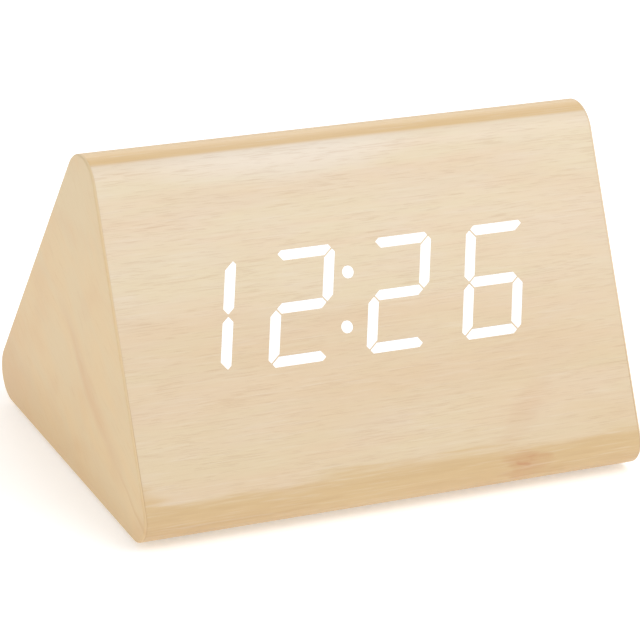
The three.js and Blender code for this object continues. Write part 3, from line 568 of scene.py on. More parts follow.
def rounded_share(finish, waver):
    """One on the rounded edges and nought on the pale flats, whose start wavers up and down."""
    shares = []
    for place, radius in ((FRONT, FRONT_RADIUS), (BACK, BACK_RADIUS)):
        height, out = on_slope(finish, place)
        start, end = pale_reach(radius)
        over_lower = (height + waver).rising(*(start + fade for fade in LOWER_FADE))
        under_upper = height.falling(*(end + fade for fade in UPPER_FADE))
        shares.append(over_lower * under_upper * out.rising(*SLOPE_SKIN))
    under = finish.z.falling(*(LIFT + fade for fade in SOLE_FADE))
    return 1 - (shares[0] + shares[1] + under).rising(0.0, 1.0)


def patch(along, height, centre, reach, lean=0):
    """A soft oval on the front: one in its middle, and nought where the distance over its reach
    along x and up the slope, squared and added, passes one. A lean moves it along x with height."""
    upward = height - centre[1]
    across = (along - centre[0] - upward * lean) * (1 / reach[0])
    upward = upward * (1 / reach[1])
    return (across * across + upward * upward).falling(0.0, 1.0)


print("pale wood up the front in mm, from and to:", *np.round(pale_reach(FRONT_RADIUS), 2))

# %% [markdown]
# ### How the layers are set
#
# The film's colour is painted in layers, each a mask that lets a tone in over what lies below. A
# grain is the size of a noise's specks along x, y and z. A turn is the pair of noise values
# between which a layer comes in or goes out, and a fade is such a pair of places, mostly heights
# up the slope. A tint is how much of the layer's tone shows where its mask is full.

# %% The film's grain and its pale ground
BAND_GRAIN = (46, 5, 5)
WIDE_GRAIN = (120, 20, 20)
HAZE_GRAIN = (26, 7, 7)
STREAK_GRAIN = (13, 0.5, 0.5)
FIGURE_GRAIN = (24, 1.6, 1.6)
BAND_SHARE = 0.7
BAND_TURN = (0.36, 0.66)
HAZE_TURN = (0.40, 0.70)
HAZE_TINT = 0.32
NEAR_HAZE_PLACE = (-5, 22)
NEAR_HAZE_REACH = (13, 9)
NEAR_HAZE_SWAY = 12
NEAR_HAZE_TINT = 0.22
# Painted shade: the wood grows more golden down the slope, standing in for the sheen that fades lower down.
PAINTED_SHADE_SLOPE_FADE = (5.0, 95.0)
PAINTED_SHADE_SLOPE_TINT = 0.29
WIDE_TURN = (0.45, 0.7)
WIDE_TINT = 0.13
# The painted sheen: a pale highlight painted into the colour as an oval under the top edge, with a paler
# crest along the top.
SHEEN_PLACE = (-18, 88)
SHEEN_REACH = (42, 8)
SHEEN_TINT = 0.52
SHEEN_STREAK = 0.8
CREST_SHEEN_FADE = (80.0, 90.0)
CREST_SHEEN_TINT = 0.09


def film_grain(finish):
    """The noises that the layers share."""
    return {
        "band": finish.noise(BAND_GRAIN, 2, 0.5, distortion=0.4),
        "wide": finish.noise(WIDE_GRAIN, 1),
        "haze": finish.noise(HAZE_GRAIN, 2, 0.6, distortion=0.3),
        "streak": finish.noise(STREAK_GRAIN, 3, 0.6),
        "figure": finish.noise(FIGURE_GRAIN, 3, 0.6),
    }


def pale_ground(finish, grain, height, on_front):
    """Bands of two creams, a haze over them, some gold that grows down the slope as painted shade,
    and a painted sheen, a pale highlight painted into the colour under the top edge, which is
    streaked."""
    wide = grain["wide"]
    bands = (grain["band"] * BAND_SHARE + wide * (1 - BAND_SHARE)).rising(*BAND_TURN)
    colour = finish.blend(bands, CREAM, PINK_CREAM)
    swayed = height + wide * NEAR_HAZE_SWAY - NEAR_HAZE_SWAY / 2
    near = patch(finish.x, swayed, NEAR_HAZE_PLACE, NEAR_HAZE_REACH) * on_front
    hazy = grain["haze"].rising(*HAZE_TURN) * HAZE_TINT + near * NEAR_HAZE_TINT
    colour = finish.blend(hazy, colour, HAZE)
    # Painted shade down the slope, and more gold where the wide noise is high.
    golden = height.falling(*PAINTED_SHADE_SLOPE_FADE) * PAINTED_SHADE_SLOPE_TINT + wide.rising(*WIDE_TURN) * WIDE_TINT
    colour = finish.blend(golden, colour, GOLD)
    # Painted sheen: a pale highlight painted into the colour under the top edge.
    sheen = patch(finish.x, height, SHEEN_PLACE, SHEEN_REACH) * SHEEN_TINT
    sheen = sheen + height.rising(*CREST_SHEEN_FADE) * CREST_SHEEN_TINT
    return finish.blend(mottled(sheen * on_front, grain["streak"], SHEEN_STREAK), colour, PALE)


# %% Gold on the rounded edges
# The gold on the rounded edges is partly the film's own smoother tone and partly painted shade for their
# duller reflection.
BAND_WAVER = 6
FIGURE_WAVER = 7
CLIMB_WIDTH = 10
CLIMB_HEIGHT = 3.8
FIGURE_TURN = (0.38, 0.66)
TOP_GOLD_FADE = (40.0, 60.0)
GOLD_TINT = 0.75
# Deeper gold in patches low on the front, more of it towards the foot.
FOOT_DEEP_GOLD_FADE = (1.0, 10.0)
DEEP_GOLD_PATCH_TURN = (0.8, 1.2)
FOOT_DEEP_GOLD_TINT = 0.4
VEIN_FADE = (2.0, 12.0)
VEIN_TURN = (0.36, 0.5)
VEIN_TINT = 0.3


def gold_share(finish, grain):
    """The share of the rounded edges, whose lower start wavers with the grain and climbs a little
    towards the left-hand end."""
    climb = finish.x.falling(-HALF_LENGTH, CLIMB_WIDTH - HALF_LENGTH) * CLIMB_HEIGHT
    waver = grain["band"] * BAND_WAVER + grain["figure"] * FIGURE_WAVER - (BAND_WAVER + FIGURE_WAVER) / 2
    return rounded_share(finish, waver - climb)


def gold_layers(finish, colour, grain, height, on_front, rims):
    """Two golds in veins along the lower edges, and a third over the top one: lit and shaded copies
    of one gold, painted for how light falls on each edge. Deeper gold also comes in patches low on
    the front, more of it towards the foot."""
    figure = grain["figure"]
    golds = finish.blend(figure.rising(*FIGURE_TURN), GOLD, LIGHT_GOLD)
    golds = finish.blend(height.rising(*TOP_GOLD_FADE), golds, TOP_GOLD)
    colour = finish.blend(rims * GOLD_TINT, colour, golds)
    deep_patches = (grain["band"] + grain["haze"]).rising(*DEEP_GOLD_PATCH_TURN)
    foot_deep_gold = height.falling(*FOOT_DEEP_GOLD_FADE) * on_front * deep_patches * FOOT_DEEP_GOLD_TINT
    veins = figure.falling(*VEIN_TURN) * height.falling(*VEIN_FADE) * on_front * VEIN_TINT
    return finish.blend((foot_deep_gold + veins) * rims, colour, DEEP_GOLD)


# %% The knot, and a blush above it
KNOT_GRAIN = (7, 2.2, 2.2)
KNOT_WARP_ALONG = 12
KNOT_WARP_UP = 7
KNOT_PLACE = (33, 8.4)
KNOT_REACH = (7.5, 4.6)
KNOT_TINT = 0.35
HEART_REACH = (3, 1.4)
HEART_TINT = 0.3
BLUSH_PLACE = (34.5, 20)
BLUSH_REACH = (6, 10)
BLUSH_LEAN = 0.8
BLUSH_TINT = 0.10
KNOT_STREAK = 0.9


def knot_layer(finish, colour, grain, height, on_front):
    """A brown oval with a darker heart and a leaning blush above it. A noise moves their edges
    along the clock and up the slope."""
    warp = finish.noise(KNOT_GRAIN, 2, 0.5) - 0.5
    along, ragged = finish.x + warp * KNOT_WARP_ALONG, height + warp * KNOT_WARP_UP
    knot = patch(along, ragged, KNOT_PLACE, KNOT_REACH) * KNOT_TINT
    knot = knot + patch(along, ragged, KNOT_PLACE, HEART_REACH) * HEART_TINT
    knot = knot + patch(along, ragged, BLUSH_PLACE, BLUSH_REACH, BLUSH_LEAN) * BLUSH_TINT
    return finish.blend(mottled(knot * on_front, grain["streak"], KNOT_STREAK), colour, KNOT_BROWN)


# %% The film's finish, with its streaks and pores
PORE_GRAIN = (5.5, 0.22, 0.22)
PORE_TURN = (0.72, 0.84)
PORE_TINT = 0.20
CROWD_GRAIN = (14, 4, 4)
CROWD_SHARE = 0.3
SMOOTH_SHARE = 0.7
LIGHT_STREAK_TURN = (0.25, 0.50)
LIGHT_STREAK_TINT = 0.20
DARK_STREAK_TURN = (0.50, 0.80)
DARK_STREAK_TINT = 0.21
STREAK_RELIEF = 0.3
FILM_RELIEF = 0.012


def film_wood():
    """The wood round the three long faces: the ground, the gold, the knot, and last the fine
    streaks and the pores, which come in crowds and are fewer on the rounded edges."""
    finish = Finish("wood_film")
    grain = film_grain(finish)
    height, out = on_slope(finish, FRONT)
    on_front = out.rising(*FRONT_SKIN)
    rims = gold_share(finish, grain)
    colour = pale_ground(finish, grain, height, on_front)
    colour = gold_layers(finish, colour, grain, height, on_front, rims)
    colour = knot_layer(finish, colour, grain, height, on_front)
    crowd = finish.noise(CROWD_GRAIN, 1) * CROWD_SHARE
    pores = (finish.noise(PORE_GRAIN, 1, 0.4) + crowd).rising(*PORE_TURN) * (1 - rims * SMOOTH_SHARE)
    streak = grain["streak"]
    colour = finish.blend(streak.falling(*LIGHT_STREAK_TURN) * LIGHT_STREAK_TINT, colour, PALE)
    dark = streak.rising(*DARK_STREAK_TURN) * DARK_STREAK_TINT + pores * PORE_TINT
    colour = finish.blend(dark, colour, PORE_BROWN)
    return finish.shaded(
        streak * STREAK_RELIEF - pores, FILM_RELIEF, Base_Color=colour,
        Roughness=0.42 + grain["band"] * 0.06 + pores * 0.1,
        IOR=1.5, Coat_Weight=0.2, Coat_Roughness=0.35,
    )


wood = film_wood()

# %% [markdown]
# ## Wood on the two ends
#
# The end sheets are cut from another part of the log. Their figure is calmer and greyer, and one
# brown streak climbs across it in a bend. The grain follows that streak, so the pattern is worked
# out from the height over the streak's line instead of from the plain height.

# %% The streak on the ends, and grain that follows it
END_CREAM = shade(219, 190, 144)
END_GREY = shade(215, 192, 152)
END_BROWN = shade(200, 160, 108)
END_RED = shade(209, 164, 118)
SEAM_BROWN = shade(176, 138, 88)
END_STREAK_FOOT = (-41, 7)
END_STREAK_SLOPE = 0.5
END_STREAK_STEP = 6
STEP_REACH = (-14.0, 6.0)
WANDER_GRAIN = (60, 9, 9)
END_STREAK_WANDER = 3
ALONG_STREAK = (0.86, 0.5)


def streak_place(finish):
    """How far a point lies over the streak, a place for grain along the streak, and the noise
    that makes it wander. The streak's line rises evenly, with one smooth step up."""
    line = (finish.y - END_STREAK_FOOT[0]) * END_STREAK_SLOPE + END_STREAK_FOOT[1]
    line = line + finish.y.rising(*STEP_REACH) * END_STREAK_STEP
    wander = finish.noise(WANDER_GRAIN, 2) - 0.5
    over = finish.z - line + wander * END_STREAK_WANDER
    along = finish.y * ALONG_STREAK[0] + finish.z * ALONG_STREAK[1]
    return over, finish.joined(finish.x, along, over), wander


def between(value, start, end):
    """A soft band of a value: in over the first pair of values and out over the second."""
    return value.rising(*start) * value.falling(*end)


# %% The ends' ground, their streak, and the browner corners
END_BAND_GRAIN = (30, 26, 8)
END_CLOUD_GRAIN = (30, 14, 9)
GREY_TURN = (0.35, 0.65)
GREY_TINT = 0.6
HIGH_GREY_FADE = (20.0, 75.0)
HIGH_GREY_TINT = 0.35
CLOUD_TURN = (0.45, 0.75)
CLOUD_TINT = 0.18
FINE_LINE_SIDES = ((-0.3, 0.2), (0.2, 1.6))
FINE_LINE_END = (-38.0, -24.0)
FINE_LINE_TINT = 0.4
SOFT_STREAK_SIDES = ((-2.0, 1.8), (0.5, 7.5))
SOFT_STREAK_ENDS = ((-36.0, -14.0), (-4.0, 16.0))
SOFT_STREAK_TINT = 0.45
LOW_FOOT = (-32, 7)
LOW_SLOPE = 0.14
LOW_WANDER = 8
LOW_FADE = (-6.0, 3.0)
LOW_TINT = 0.2
WARM_LEAN = 0.45
WARM_FADE = (8.0, 40.0)
FRONT_LEAN = 0.56
FRONT_FADE = (-44.0, -30.0)
SIDE_TINT = 0.25


def end_ground(finish, grain_place):
    """Bands of cream and grey, greyer higher up, with redder clouds."""
    band = finish.noise(END_BAND_GRAIN, 2, 0.5, grain_place)
    cloud = finish.noise(END_CLOUD_GRAIN, 2, 0.5)
    grey = band.rising(*GREY_TURN) * GREY_TINT + finish.z.rising(*HIGH_GREY_FADE) * HIGH_GREY_TINT
    colour = finish.blend(grey, END_CREAM, END_GREY)
    return finish.blend(cloud.rising(*CLOUD_TURN) * CLOUD_TINT, colour, END_RED)


def end_figure(finish, colour, over, wander):
    """The streak is a fine line at its foot and a soft blush above. Under a second, flatter line
    the wood is browner, and it is warmer towards the back and browner towards the front."""
    line = between(over, *FINE_LINE_SIDES) * finish.y.falling(*FINE_LINE_END)
    blush = between(over, *SOFT_STREAK_SIDES) * between(finish.y, *SOFT_STREAK_ENDS)
    colour = finish.blend(blush * SOFT_STREAK_TINT, colour, END_RED)
    colour = finish.blend(line * FINE_LINE_TINT, colour, END_BROWN)
    low = finish.z - (finish.y - LOW_FOOT[0]) * LOW_SLOPE - LOW_FOOT[1] + wander * LOW_WANDER
    colour = finish.blend(low.falling(*LOW_FADE) * LOW_TINT, colour, END_BROWN)
    warm = (finish.y - finish.z * WARM_LEAN).rising(*WARM_FADE)
    colour = finish.blend(warm * SIDE_TINT, colour, END_RED)
    front = (finish.y + finish.z * FRONT_LEAN).falling(*FRONT_FADE)
    return finish.blend(front * SIDE_TINT, colour, END_BROWN)


# %% The ends' finish, with their pores and rims
FINE_GRAIN = (30, 7, 0.6)
FINE_TURN = (0.5, 0.8)
FINE_TINT = 0.2
END_PORE_GRAIN = (1, 3.5, 0.25)
END_PORE_TURN = (0.62, 0.78)
END_PORE_TINT = 0.12
RIM_FADE = (0.1, 0.5)
# The left rim's smaller share is painted shade, so the light it catches does not show as a bright line.
LEFT_RIM_TINT = 0.2
RIGHT_RIM_TINT = 0.8
GLUE_FADE = (0.05, 0.2)
GLUE_HEIGHT = (20.0, 45.0)
GLUE_TINT = 0.6
FINE_RELIEF = 0.3
END_PORE_RELIEF = 0.6
END_RELIEF = 0.01


def end_film_wood():
    """The wood on the ends. Past the seam the rounded rim takes on some of the front's lighter tone,
    more on the right than on the left: the left rim, which catches the light, gets less of it as
    painted shade. Low down a line of glue shows in the seam."""
    finish = Finish("end_wood_film")
    over, grain_place, wander = streak_place(finish)
    colour = end_figure(finish, end_ground(finish, grain_place), over, wander)
    fine = finish.noise(FINE_GRAIN, 3, 0.6, grain_place)
    pores = finish.noise(END_PORE_GRAIN, 1, 0.4, grain_place).rising(*END_PORE_TURN)
    grained = fine.rising(*FINE_TURN) * FINE_TINT + pores * END_PORE_TINT
    colour = finish.blend(grained, colour, END_BROWN)
    past_seam = finish.x.size() - FILM_HALF
    rim = LEFT_RIM_TINT + finish.x.rising(-1.0, 1.0) * (RIGHT_RIM_TINT - LEFT_RIM_TINT)
    colour = finish.blend(past_seam.falling(*RIM_FADE) * rim, colour, PINK_CREAM)
    glue = past_seam.falling(*GLUE_FADE) * finish.z.falling(*GLUE_HEIGHT)
    colour = finish.blend(glue * GLUE_TINT, colour, SEAM_BROWN)
    return finish.shaded(
        fine * FINE_RELIEF - pores * END_PORE_RELIEF, END_RELIEF, Base_Color=colour,
        Roughness=0.46 + fine * 0.06, IOR=1.5, Coat_Weight=0.15, Coat_Roughness=0.35,
    )


end_wood = end_film_wood()

# %% [markdown]
# ## Plastic, rubber and metal
#
# Moulded plastic has a fine, even texture from its mould, which breaks up reflections. Metal parts
# are drawn or pressed, so their scratches run one way. All of these are small noises at their real
# size that feed roughness and bump, with only a little change of colour.


# %% Black moulding, rubber, and the painted marks
MOULD_CLOUD = (14, 14, 14)
MOULD_TURN = (0.35, 0.7)


def moulded(name, dark, bright, roughness, speck, depth, specular=0.5):
    """A moulded surface: specks of the given size in millimetres, pressed in by the depth."""
    finish = Finish(name)
    texture = finish.noise((speck, speck, speck), 3, 0.6)
    cloud = finish.noise(MOULD_CLOUD, 2)
    colour = finish.blend(cloud.rising(*MOULD_TURN) * 0.6 + texture * 0.3, dark, bright)
    return finish.shaded(
        texture, depth, Base_Color=colour, Roughness=roughness + texture * 0.12,
        Specular_IOR_Level=specular,
    )


black = moulded("black_moulding", shade(26, 26, 27), shade(38, 38, 39), 0.40, 0.28, 0.02)
rubber = moulded("rubber_pad", shade(30, 30, 30), shade(44, 43, 42), 0.72, 0.4, 0.03, 0.35)
mark_paint = moulded("mark_paint", shade(205, 205, 203), shade(222, 222, 220), 0.48, 0.25, 0.01)


# %% Steel and brass
SCRATCHES = (6, 0.09, 0.09)
SCRATCH_DEPTH = 0.004
METAL_CLOUD = (3, 3, 3)


def drawn_metal(name, dark, bright, roughness):
    """Metal with fine scratches along the clock: noise that is long along x and thin across it."""
    finish = Finish(name)
    scratches = finish.noise(SCRATCHES, 2, 0.6)
    cloud = finish.noise(METAL_CLOUD, 2)
    return finish.shaded(
        scratches, SCRATCH_DEPTH, Base_Color=finish.blend(cloud, dark, bright), Metallic=1.0,
        Roughness=roughness + scratches * 0.14 + cloud * 0.06,
    )


steel = drawn_metal("steel", shade(168, 170, 174), shade(198, 200, 203), 0.2)
brass = drawn_metal("brass_pin", shade(186, 150, 84), shade(212, 178, 108), 0.2)

# %% [markdown]
# ## Light behind the strokes
#
# The photograph shows the strokes as flat, even white, brighter than anything round them. So the
# guides simply shine, just strongly enough to come out white, and no glow is added round them.

# %% Shining guides
WHITE = (1.0, 1.0, 1.0, 1.0)
LIGHT_STRENGTH = 1.0
shine = Finish("segment_glow")
light = shine.shaded(
    Base_Color=shade(90, 90, 90), Roughness=0.35, Emission_Color=WHITE,
    Emission_Strength=LIGHT_STRENGTH,
)

# %% [markdown]
# ## Parts that stay as packed
#
# Boards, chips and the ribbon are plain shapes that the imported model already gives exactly. They
# keep their meshes and only get a finish. Most of them show only when the clock is opened.


# %% Fibreboard
COARSE_FIBRES = (1.4, 0.5, 0.5)
FINE_FIBRES = (0.3, 0.15, 0.15)


def fibreboard():
    """Pressed fibres: two noises of short specks, one coarse and one fine, over a soft brown."""
    finish = Finish("fibreboard")
    coarse = finish.noise(COARSE_FIBRES, 3, 0.6)
    fine = finish.noise(FINE_FIBRES, 2)
    colour = finish.blend(coarse.rising(0.3, 0.7), shade(160, 124, 84), shade(188, 152, 110))
    colour = finish.blend(fine.rising(0.55, 0.8) * 0.5, colour, shade(126, 92, 58))
    return finish.shaded(coarse * 0.6 + fine * 0.4, 0.08, Base_Color=colour, Roughness=0.85)


# %% Circuit board and ribbon cable
COPPER_PATCH = (9, 6, 6)
COPPER_PITCH = 1.5
WIRE_PITCH = 1.27
FIRST_WIRE = (-1.3, -1.2)


def circuit_board():
    """Green lacquer over copper tracks, upright where a noise is high and level where it is low."""
    finish = Finish("circuit_board")
    where = finish.noise(COPPER_PATCH, 1).rising(0.48, 0.52)
    upright, level = (value.wave(COPPER_PITCH).rising(0.3, 0.5) for value in (finish.x, finish.z))
    copper = upright * where + level * (1 - where)
    cloud = finish.noise((5, 5, 5), 2)
    colour = finish.blend(cloud, shade(24, 82, 48), shade(32, 98, 58))
    colour = finish.blend(copper * 0.45, colour, shade(64, 132, 74))
    return finish.shaded(copper, 0.03, Base_Color=colour, Roughness=0.32 + cloud * 0.1, Coat_Weight=0.3)


def ribbon_insulation():
    """A flat cable of many wires side by side: its height is a sine across x, one wave per wire.
    The first wire is red."""
    finish = Finish("ribbon")
    wires = finish.x.wave(WIRE_PITCH)
    worn = finish.noise((2, 2, 2), 2)
    first = (finish.x - limits("ribbon_cable", FLAT)[1][0]).rising(*FIRST_WIRE)
    bright = wires.rising(-1.0, -0.6) * 0.6 + worn * 0.2
    colour = finish.blend(bright, shade(120, 120, 122), shade(168, 168, 170))
    colour = finish.blend(first, colour, shade(168, 60, 52))
    return finish.shaded(wires, 0.15, Base_Color=colour, Roughness=0.5 + worn * 0.1)


packed_finishes = {
    "fibreboard": fibreboard(), "circuit_board": circuit_board(), "ribbon": ribbon_insulation(),
    "black_moulding": black, "steel": steel, "brass_pin": brass,
}

# %% [markdown]
# ## The shapes of the digits
#
# Each digit has seven strokes that meet at slanted joints, and its outer corners are cut off. The
# strokes lean to the right. A font could not be lit stroke by stroke, so every stroke is its own
# outline, worked out from the digit's size. The display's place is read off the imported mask.

# %% Strokes of a digit
DIGIT_HEIGHT = 26.7
DIGIT_SLANT = 0.222
FLAT_STROKE = 2.5
UPRIGHT_STROKE = 2.85
CORNER_CUT = 1.92
STROKE_GAP = 0.21
STROKE_EASE = 0.22
mask_low, mask_high = limits("segment_mask", FRONT)
DISPLAY_MARGIN = 1.65
DIGIT_WIDTH_SHARE = 0.634
DIGIT_COUNT = 4
DISPLAY_HEIGHT = (mask_low[1] + mask_high[1]) / 2
DIGITS_LENGTH = mask_high[0] - mask_low[0] - 2 * DISPLAY_MARGIN - DIGIT_SLANT * DIGIT_HEIGHT
DIGIT_PITCH = DIGITS_LENGTH / (DIGIT_COUNT - 1 + DIGIT_WIDTH_SHARE)
DIGIT_WIDTH = DIGIT_PITCH * DIGIT_WIDTH_SHARE
DISPLAY_MIDDLE = (mask_low[0] + mask_high[0]) / 2


def strokes():
    """The seven strokes by their usual letters. Three are drawn, a along the top, b down the
    upper right and g across the middle, and the others are their mirror images."""
    right, top = DIGIT_WIDTH / 2, DIGIT_HEIGHT / 2
    half = CORNER_CUT / 2
    joint = STROKE_GAP / math.sqrt(2)
    tip = right - UPRIGHT_STROKE / 2
    middle_half = FLAT_STROKE / 2
    a = np.array([
        (-right + half + joint / 2, top - half + joint / 2),
        (-right + CORNER_CUT, top),
        (right - CORNER_CUT, top),
        (right - half - joint / 2, top - half + joint / 2),
        (right - FLAT_STROKE - joint, top - FLAT_STROKE),
        (-right + FLAT_STROKE + joint, top - FLAT_STROKE),
    ])
    b = np.array([
        (right - half + joint / 2, top - half - joint / 2),
        (right, top - CORNER_CUT),
        (right, joint + UPRIGHT_STROKE / 2),
        (tip, joint),
        (right - UPRIGHT_STROKE, joint + UPRIGHT_STROKE / 2),
        (right - UPRIGHT_STROKE, top - UPRIGHT_STROKE - joint),
    ])
    g = np.array([
        (-tip + joint, 0),
        (-tip + joint + middle_half, middle_half),
        (tip - joint - middle_half, middle_half),
        (tip - joint, 0),
        (tip - joint - middle_half, -middle_half),
        (-tip + joint + middle_half, -middle_half),
    ])
    mirrored = {"c": b * [1, -1], "d": a * [1, -1], "e": b * [-1, -1], "f": b * [-1, 1]}
    return {"a": a, "b": b, "g": g, **mirrored}


def leaning(points, place):
    """Points moved to their place on the slope and leant to the right by the slant times height."""
    points = np.array(points, float)
    return points @ np.array([[1, 0], [DIGIT_SLANT, 1]]) + place


print("digit width and pitch in mm:", round(DIGIT_WIDTH, 2), round(DIGIT_PITCH, 2))

# %% [markdown]
# ## Light guides
#
# Behind the wood, a clear white moulding carries the light of the lamps. Each guide is a leaning
# plate with one bar for each stroke. On the real clock the film is whole and light shines through
# it. Here the film has a window for each lit stroke, and the bar ends just under its face, which
# gives the same crisp edge without a see-through film. The dark bars stop below the film.

# %% Light guides, with the time that the clock shows
SHOWN_TIME = [1, 2, 2, 6]
LIT_STROKES = {1: "bc", 2: "abdeg", 6: "acdefg"}
COLON_SHIFT_SHARE = -0.034
COLON_RADIUS = 1.55
COLON_SLANT = 0.19
COLON_SPREAD = 12.6
LIT_FACE = -0.05
DARK_FACE = -1.0
GUIDE_MARGIN = 0.5
GUIDE_FOOT = limits("digit_1_light_guide", FRONT)[0][2]
GUIDE_PLATE = 0.8
STROKE_TRIM = 0.08
WINDOW_GAP = 0.04
all_strokes = strokes()
windows = []


def light_guide(name, plate, bars):
    """One guide: a plate, and bars of (outline, lit) that rise from it. Each lit outline is also
    kept, as a window of the film."""
    guide = piece_of(name, slab(plate, GUIDE_FOOT, GUIDE_FOOT + GUIDE_PLATE, 0.1, 0.1))
    foot = GUIDE_FOOT + GUIDE_PLATE / 2
    forms = []
    for bar, lit in bars:
        face = LIT_FACE if lit else DARK_FACE
        forms.append(straight(bar, foot, face, -STROKE_TRIM))
        if lit:
            windows.append(bar)
    fused(guide, together(*forms))
    return finished(guide, FRONT, "root", "segment_glow", light, name + "_light_guide")


def digit_guide(i, value):
    """The guide of digit i, counted from the left."""
    place = (DISPLAY_MIDDLE + (i - (DIGIT_COUNT - 1) / 2) * DIGIT_PITCH, DISPLAY_HEIGHT)
    half_width, half_height = DIGIT_WIDTH / 2 + GUIDE_MARGIN, DIGIT_HEIGHT / 2 + GUIDE_MARGIN
    plate = leaning(rectangle((-half_width, half_width), (-half_height, half_height)), place)
    bars = []
    for letter, points in all_strokes.items():
        bar = eased(leaning(points, place), STROKE_EASE, 3, closed=True)
        bars.append((bar, letter in LIT_STROKES[value]))
    return light_guide(f"digit_{i + 1}", plate, bars)


def colon_guide():
    """The guide of the two dots. Each dot is round, and the upper one is moved with the slant."""
    place = np.array([DISPLAY_MIDDLE + COLON_SHIFT_SHARE * DIGIT_PITCH, DISPLAY_HEIGHT])
    half = COLON_RADIUS + GUIDE_MARGIN
    plate = leaning(rectangle((-half, half), wider(spread(0, COLON_SPREAD), half)), place)
    rises = spread(0, COLON_SPREAD)
    bars = [(circle(place + [COLON_SLANT * rise, rise], COLON_RADIUS, 40), True) for rise in rises]
    return light_guide("colon", plate, bars)


for i, value in enumerate(SHOWN_TIME):
    digit_guide(i, value)
colon_guide()
print("lit strokes and dots:", len(windows))

# %% [markdown]
# ## The wood film
#
# One sheet of film wraps the three long faces and meets itself under the clock. It could be a
# hollow tube, but a real sheet has a joint, and a strip carried round the section shows that. The
# strip's rims are rounded a little, which leaves the fine seam against the two end sheets.

# %% The sheet round the three long faces
BUTT_JOINT = 0.1
SEAM = 0.05
COVER_RADIUS = 4
COVER_STEPS = 10
COVER_LIP = 0.12
FIT = 0.3
WINDOW_DEPTH = -1.3


def film_strip():
    """The strip's section, x along the clock and height over the case's outline, carried round
    the outline. Each point of the outline leans along the mean of its two sides' normals."""
    loop = np.roll(outline, -(CORNER_STEPS + 1), axis=0)
    joint = (loop[0, 0] + loop[-1, 0]) / 2
    near, far = spread(joint, BUTT_JOINT)
    path = np.concatenate([[(far, LIFT)], loop, [(near, LIFT)]])
    lean = np.diff(grown(path, [0, 1]), axis=0)[0]
    section = eased(rectangle((-FILM_HALF, FILM_HALF), (-FILM, 0)), [0, 0, SEAM, SEAM], 3, closed=True)
    height = np.broadcast_to(section[:, 1, None], (len(path), len(section), 1))
    round_case = path[:, None] + height * lean[:, None]
    along = np.broadcast_to(section[:, 0, None], (len(path), len(section), 1))
    return stack(np.concatenate([along, round_case], -1))


cover_low, cover_high = limits("rear_cover", BACK)
cover_x, cover_y = (cover_low[0], cover_high[0]), (cover_low[1], cover_high[1])
film = piece_of("wood_film", film_strip())
window_growth = WINDOW_GAP - STROKE_TRIM
window_cuts = [straight(bar, WINDOW_DEPTH, OVERRUN, window_growth) for bar in windows]
carved(film, laid(together(*window_cuts), FRONT))
cover_hole = rectangle(wider(cover_x, FIT), wider(cover_y, FIT), COVER_RADIUS + FIT, COVER_STEPS)
carved(film, laid(opening(cover_hole, WINDOW_DEPTH, 0, COVER_LIP), BACK))
finished(film, FLAT, "root", "wood_film", wood, "veneer_wrap")


# %% The two end sheets
END_EASE = 0.5
ALONG = (np.zeros(3), np.array([[0, 1, 0], [0, 0, 1], [1, 0, 0]], float))


def end_sheet(side):
    """The case's outline carried outwards from the seam to the end, with its outer rim rounded."""
    inner, outer = FILM_HALF, HALF_LENGTH
    wall = [(-3 * SEAM, inner), (-SEAM, inner), (0, inner + SEAM), (0, outer), (-2 * END_EASE, outer)]
    wall = eased(wall, [0, 0, 0, END_EASE, 0], 6) * [1, side]
    return carried(outline, wall)


for side, node in ((-1, "left_end_veneer"), (1, "right_end_veneer")):
    sheet = piece_of(node.replace("_veneer", "_film"), end_sheet(side))
    finished(sheet, ALONG, "root", "wood_film", end_wood, node)


# %% [markdown]
# ## Feet
#
# Four soft pads are stuck under the clock. A lathe profile gives each its rounded rim and the
# shallow hollow in its sole, which a plain disc lacks.


# %% Rubber pads
FOOT_COUNT = 4
HOLLOW_DEPTH = 0.25
HOLLOW_SHARE = 0.62
SOLE_SHARE = 0.72


def pad(node):
    """A pad's profile, from the hollow's middle out over the rim and up to the glued face."""
    low, high = limits(node, FLAT)
    radius, glued = (high[0] - low[0]) / 2, high[2]
    hollow = [(0, HOLLOW_DEPTH), (HOLLOW_SHARE * radius, HOLLOW_DEPTH), (SOLE_SHARE * radius, 0)]
    profile = [*hollow, (radius, 0), (radius, glued), (0, glued)]
    form = turned(eased(profile, [0, 0.1, 0.15, 0.35, 0.1, 0], 4), (low + high) / 2)
    return finished(piece_of(node + "_pad", form), FLAT, "root", "rubber_pad", rubber, node, sharp=50)


for i in range(FOOT_COUNT):
    pad(f"foot_{i + 1}")

# %% [markdown]
# ## Rear cover
#
# The cover is one black moulding: a plate with a bay for three cells, posts for the circuit board
# and holes for the controls. It starts as a plate with a rounded rim, joined to the bay and the
# posts, and each opening is cut with a cutter that flares at the top, so every rim is rounded as
# on moulded plastic. Bevelling the finished mesh would be less sure where cuts lie close together.

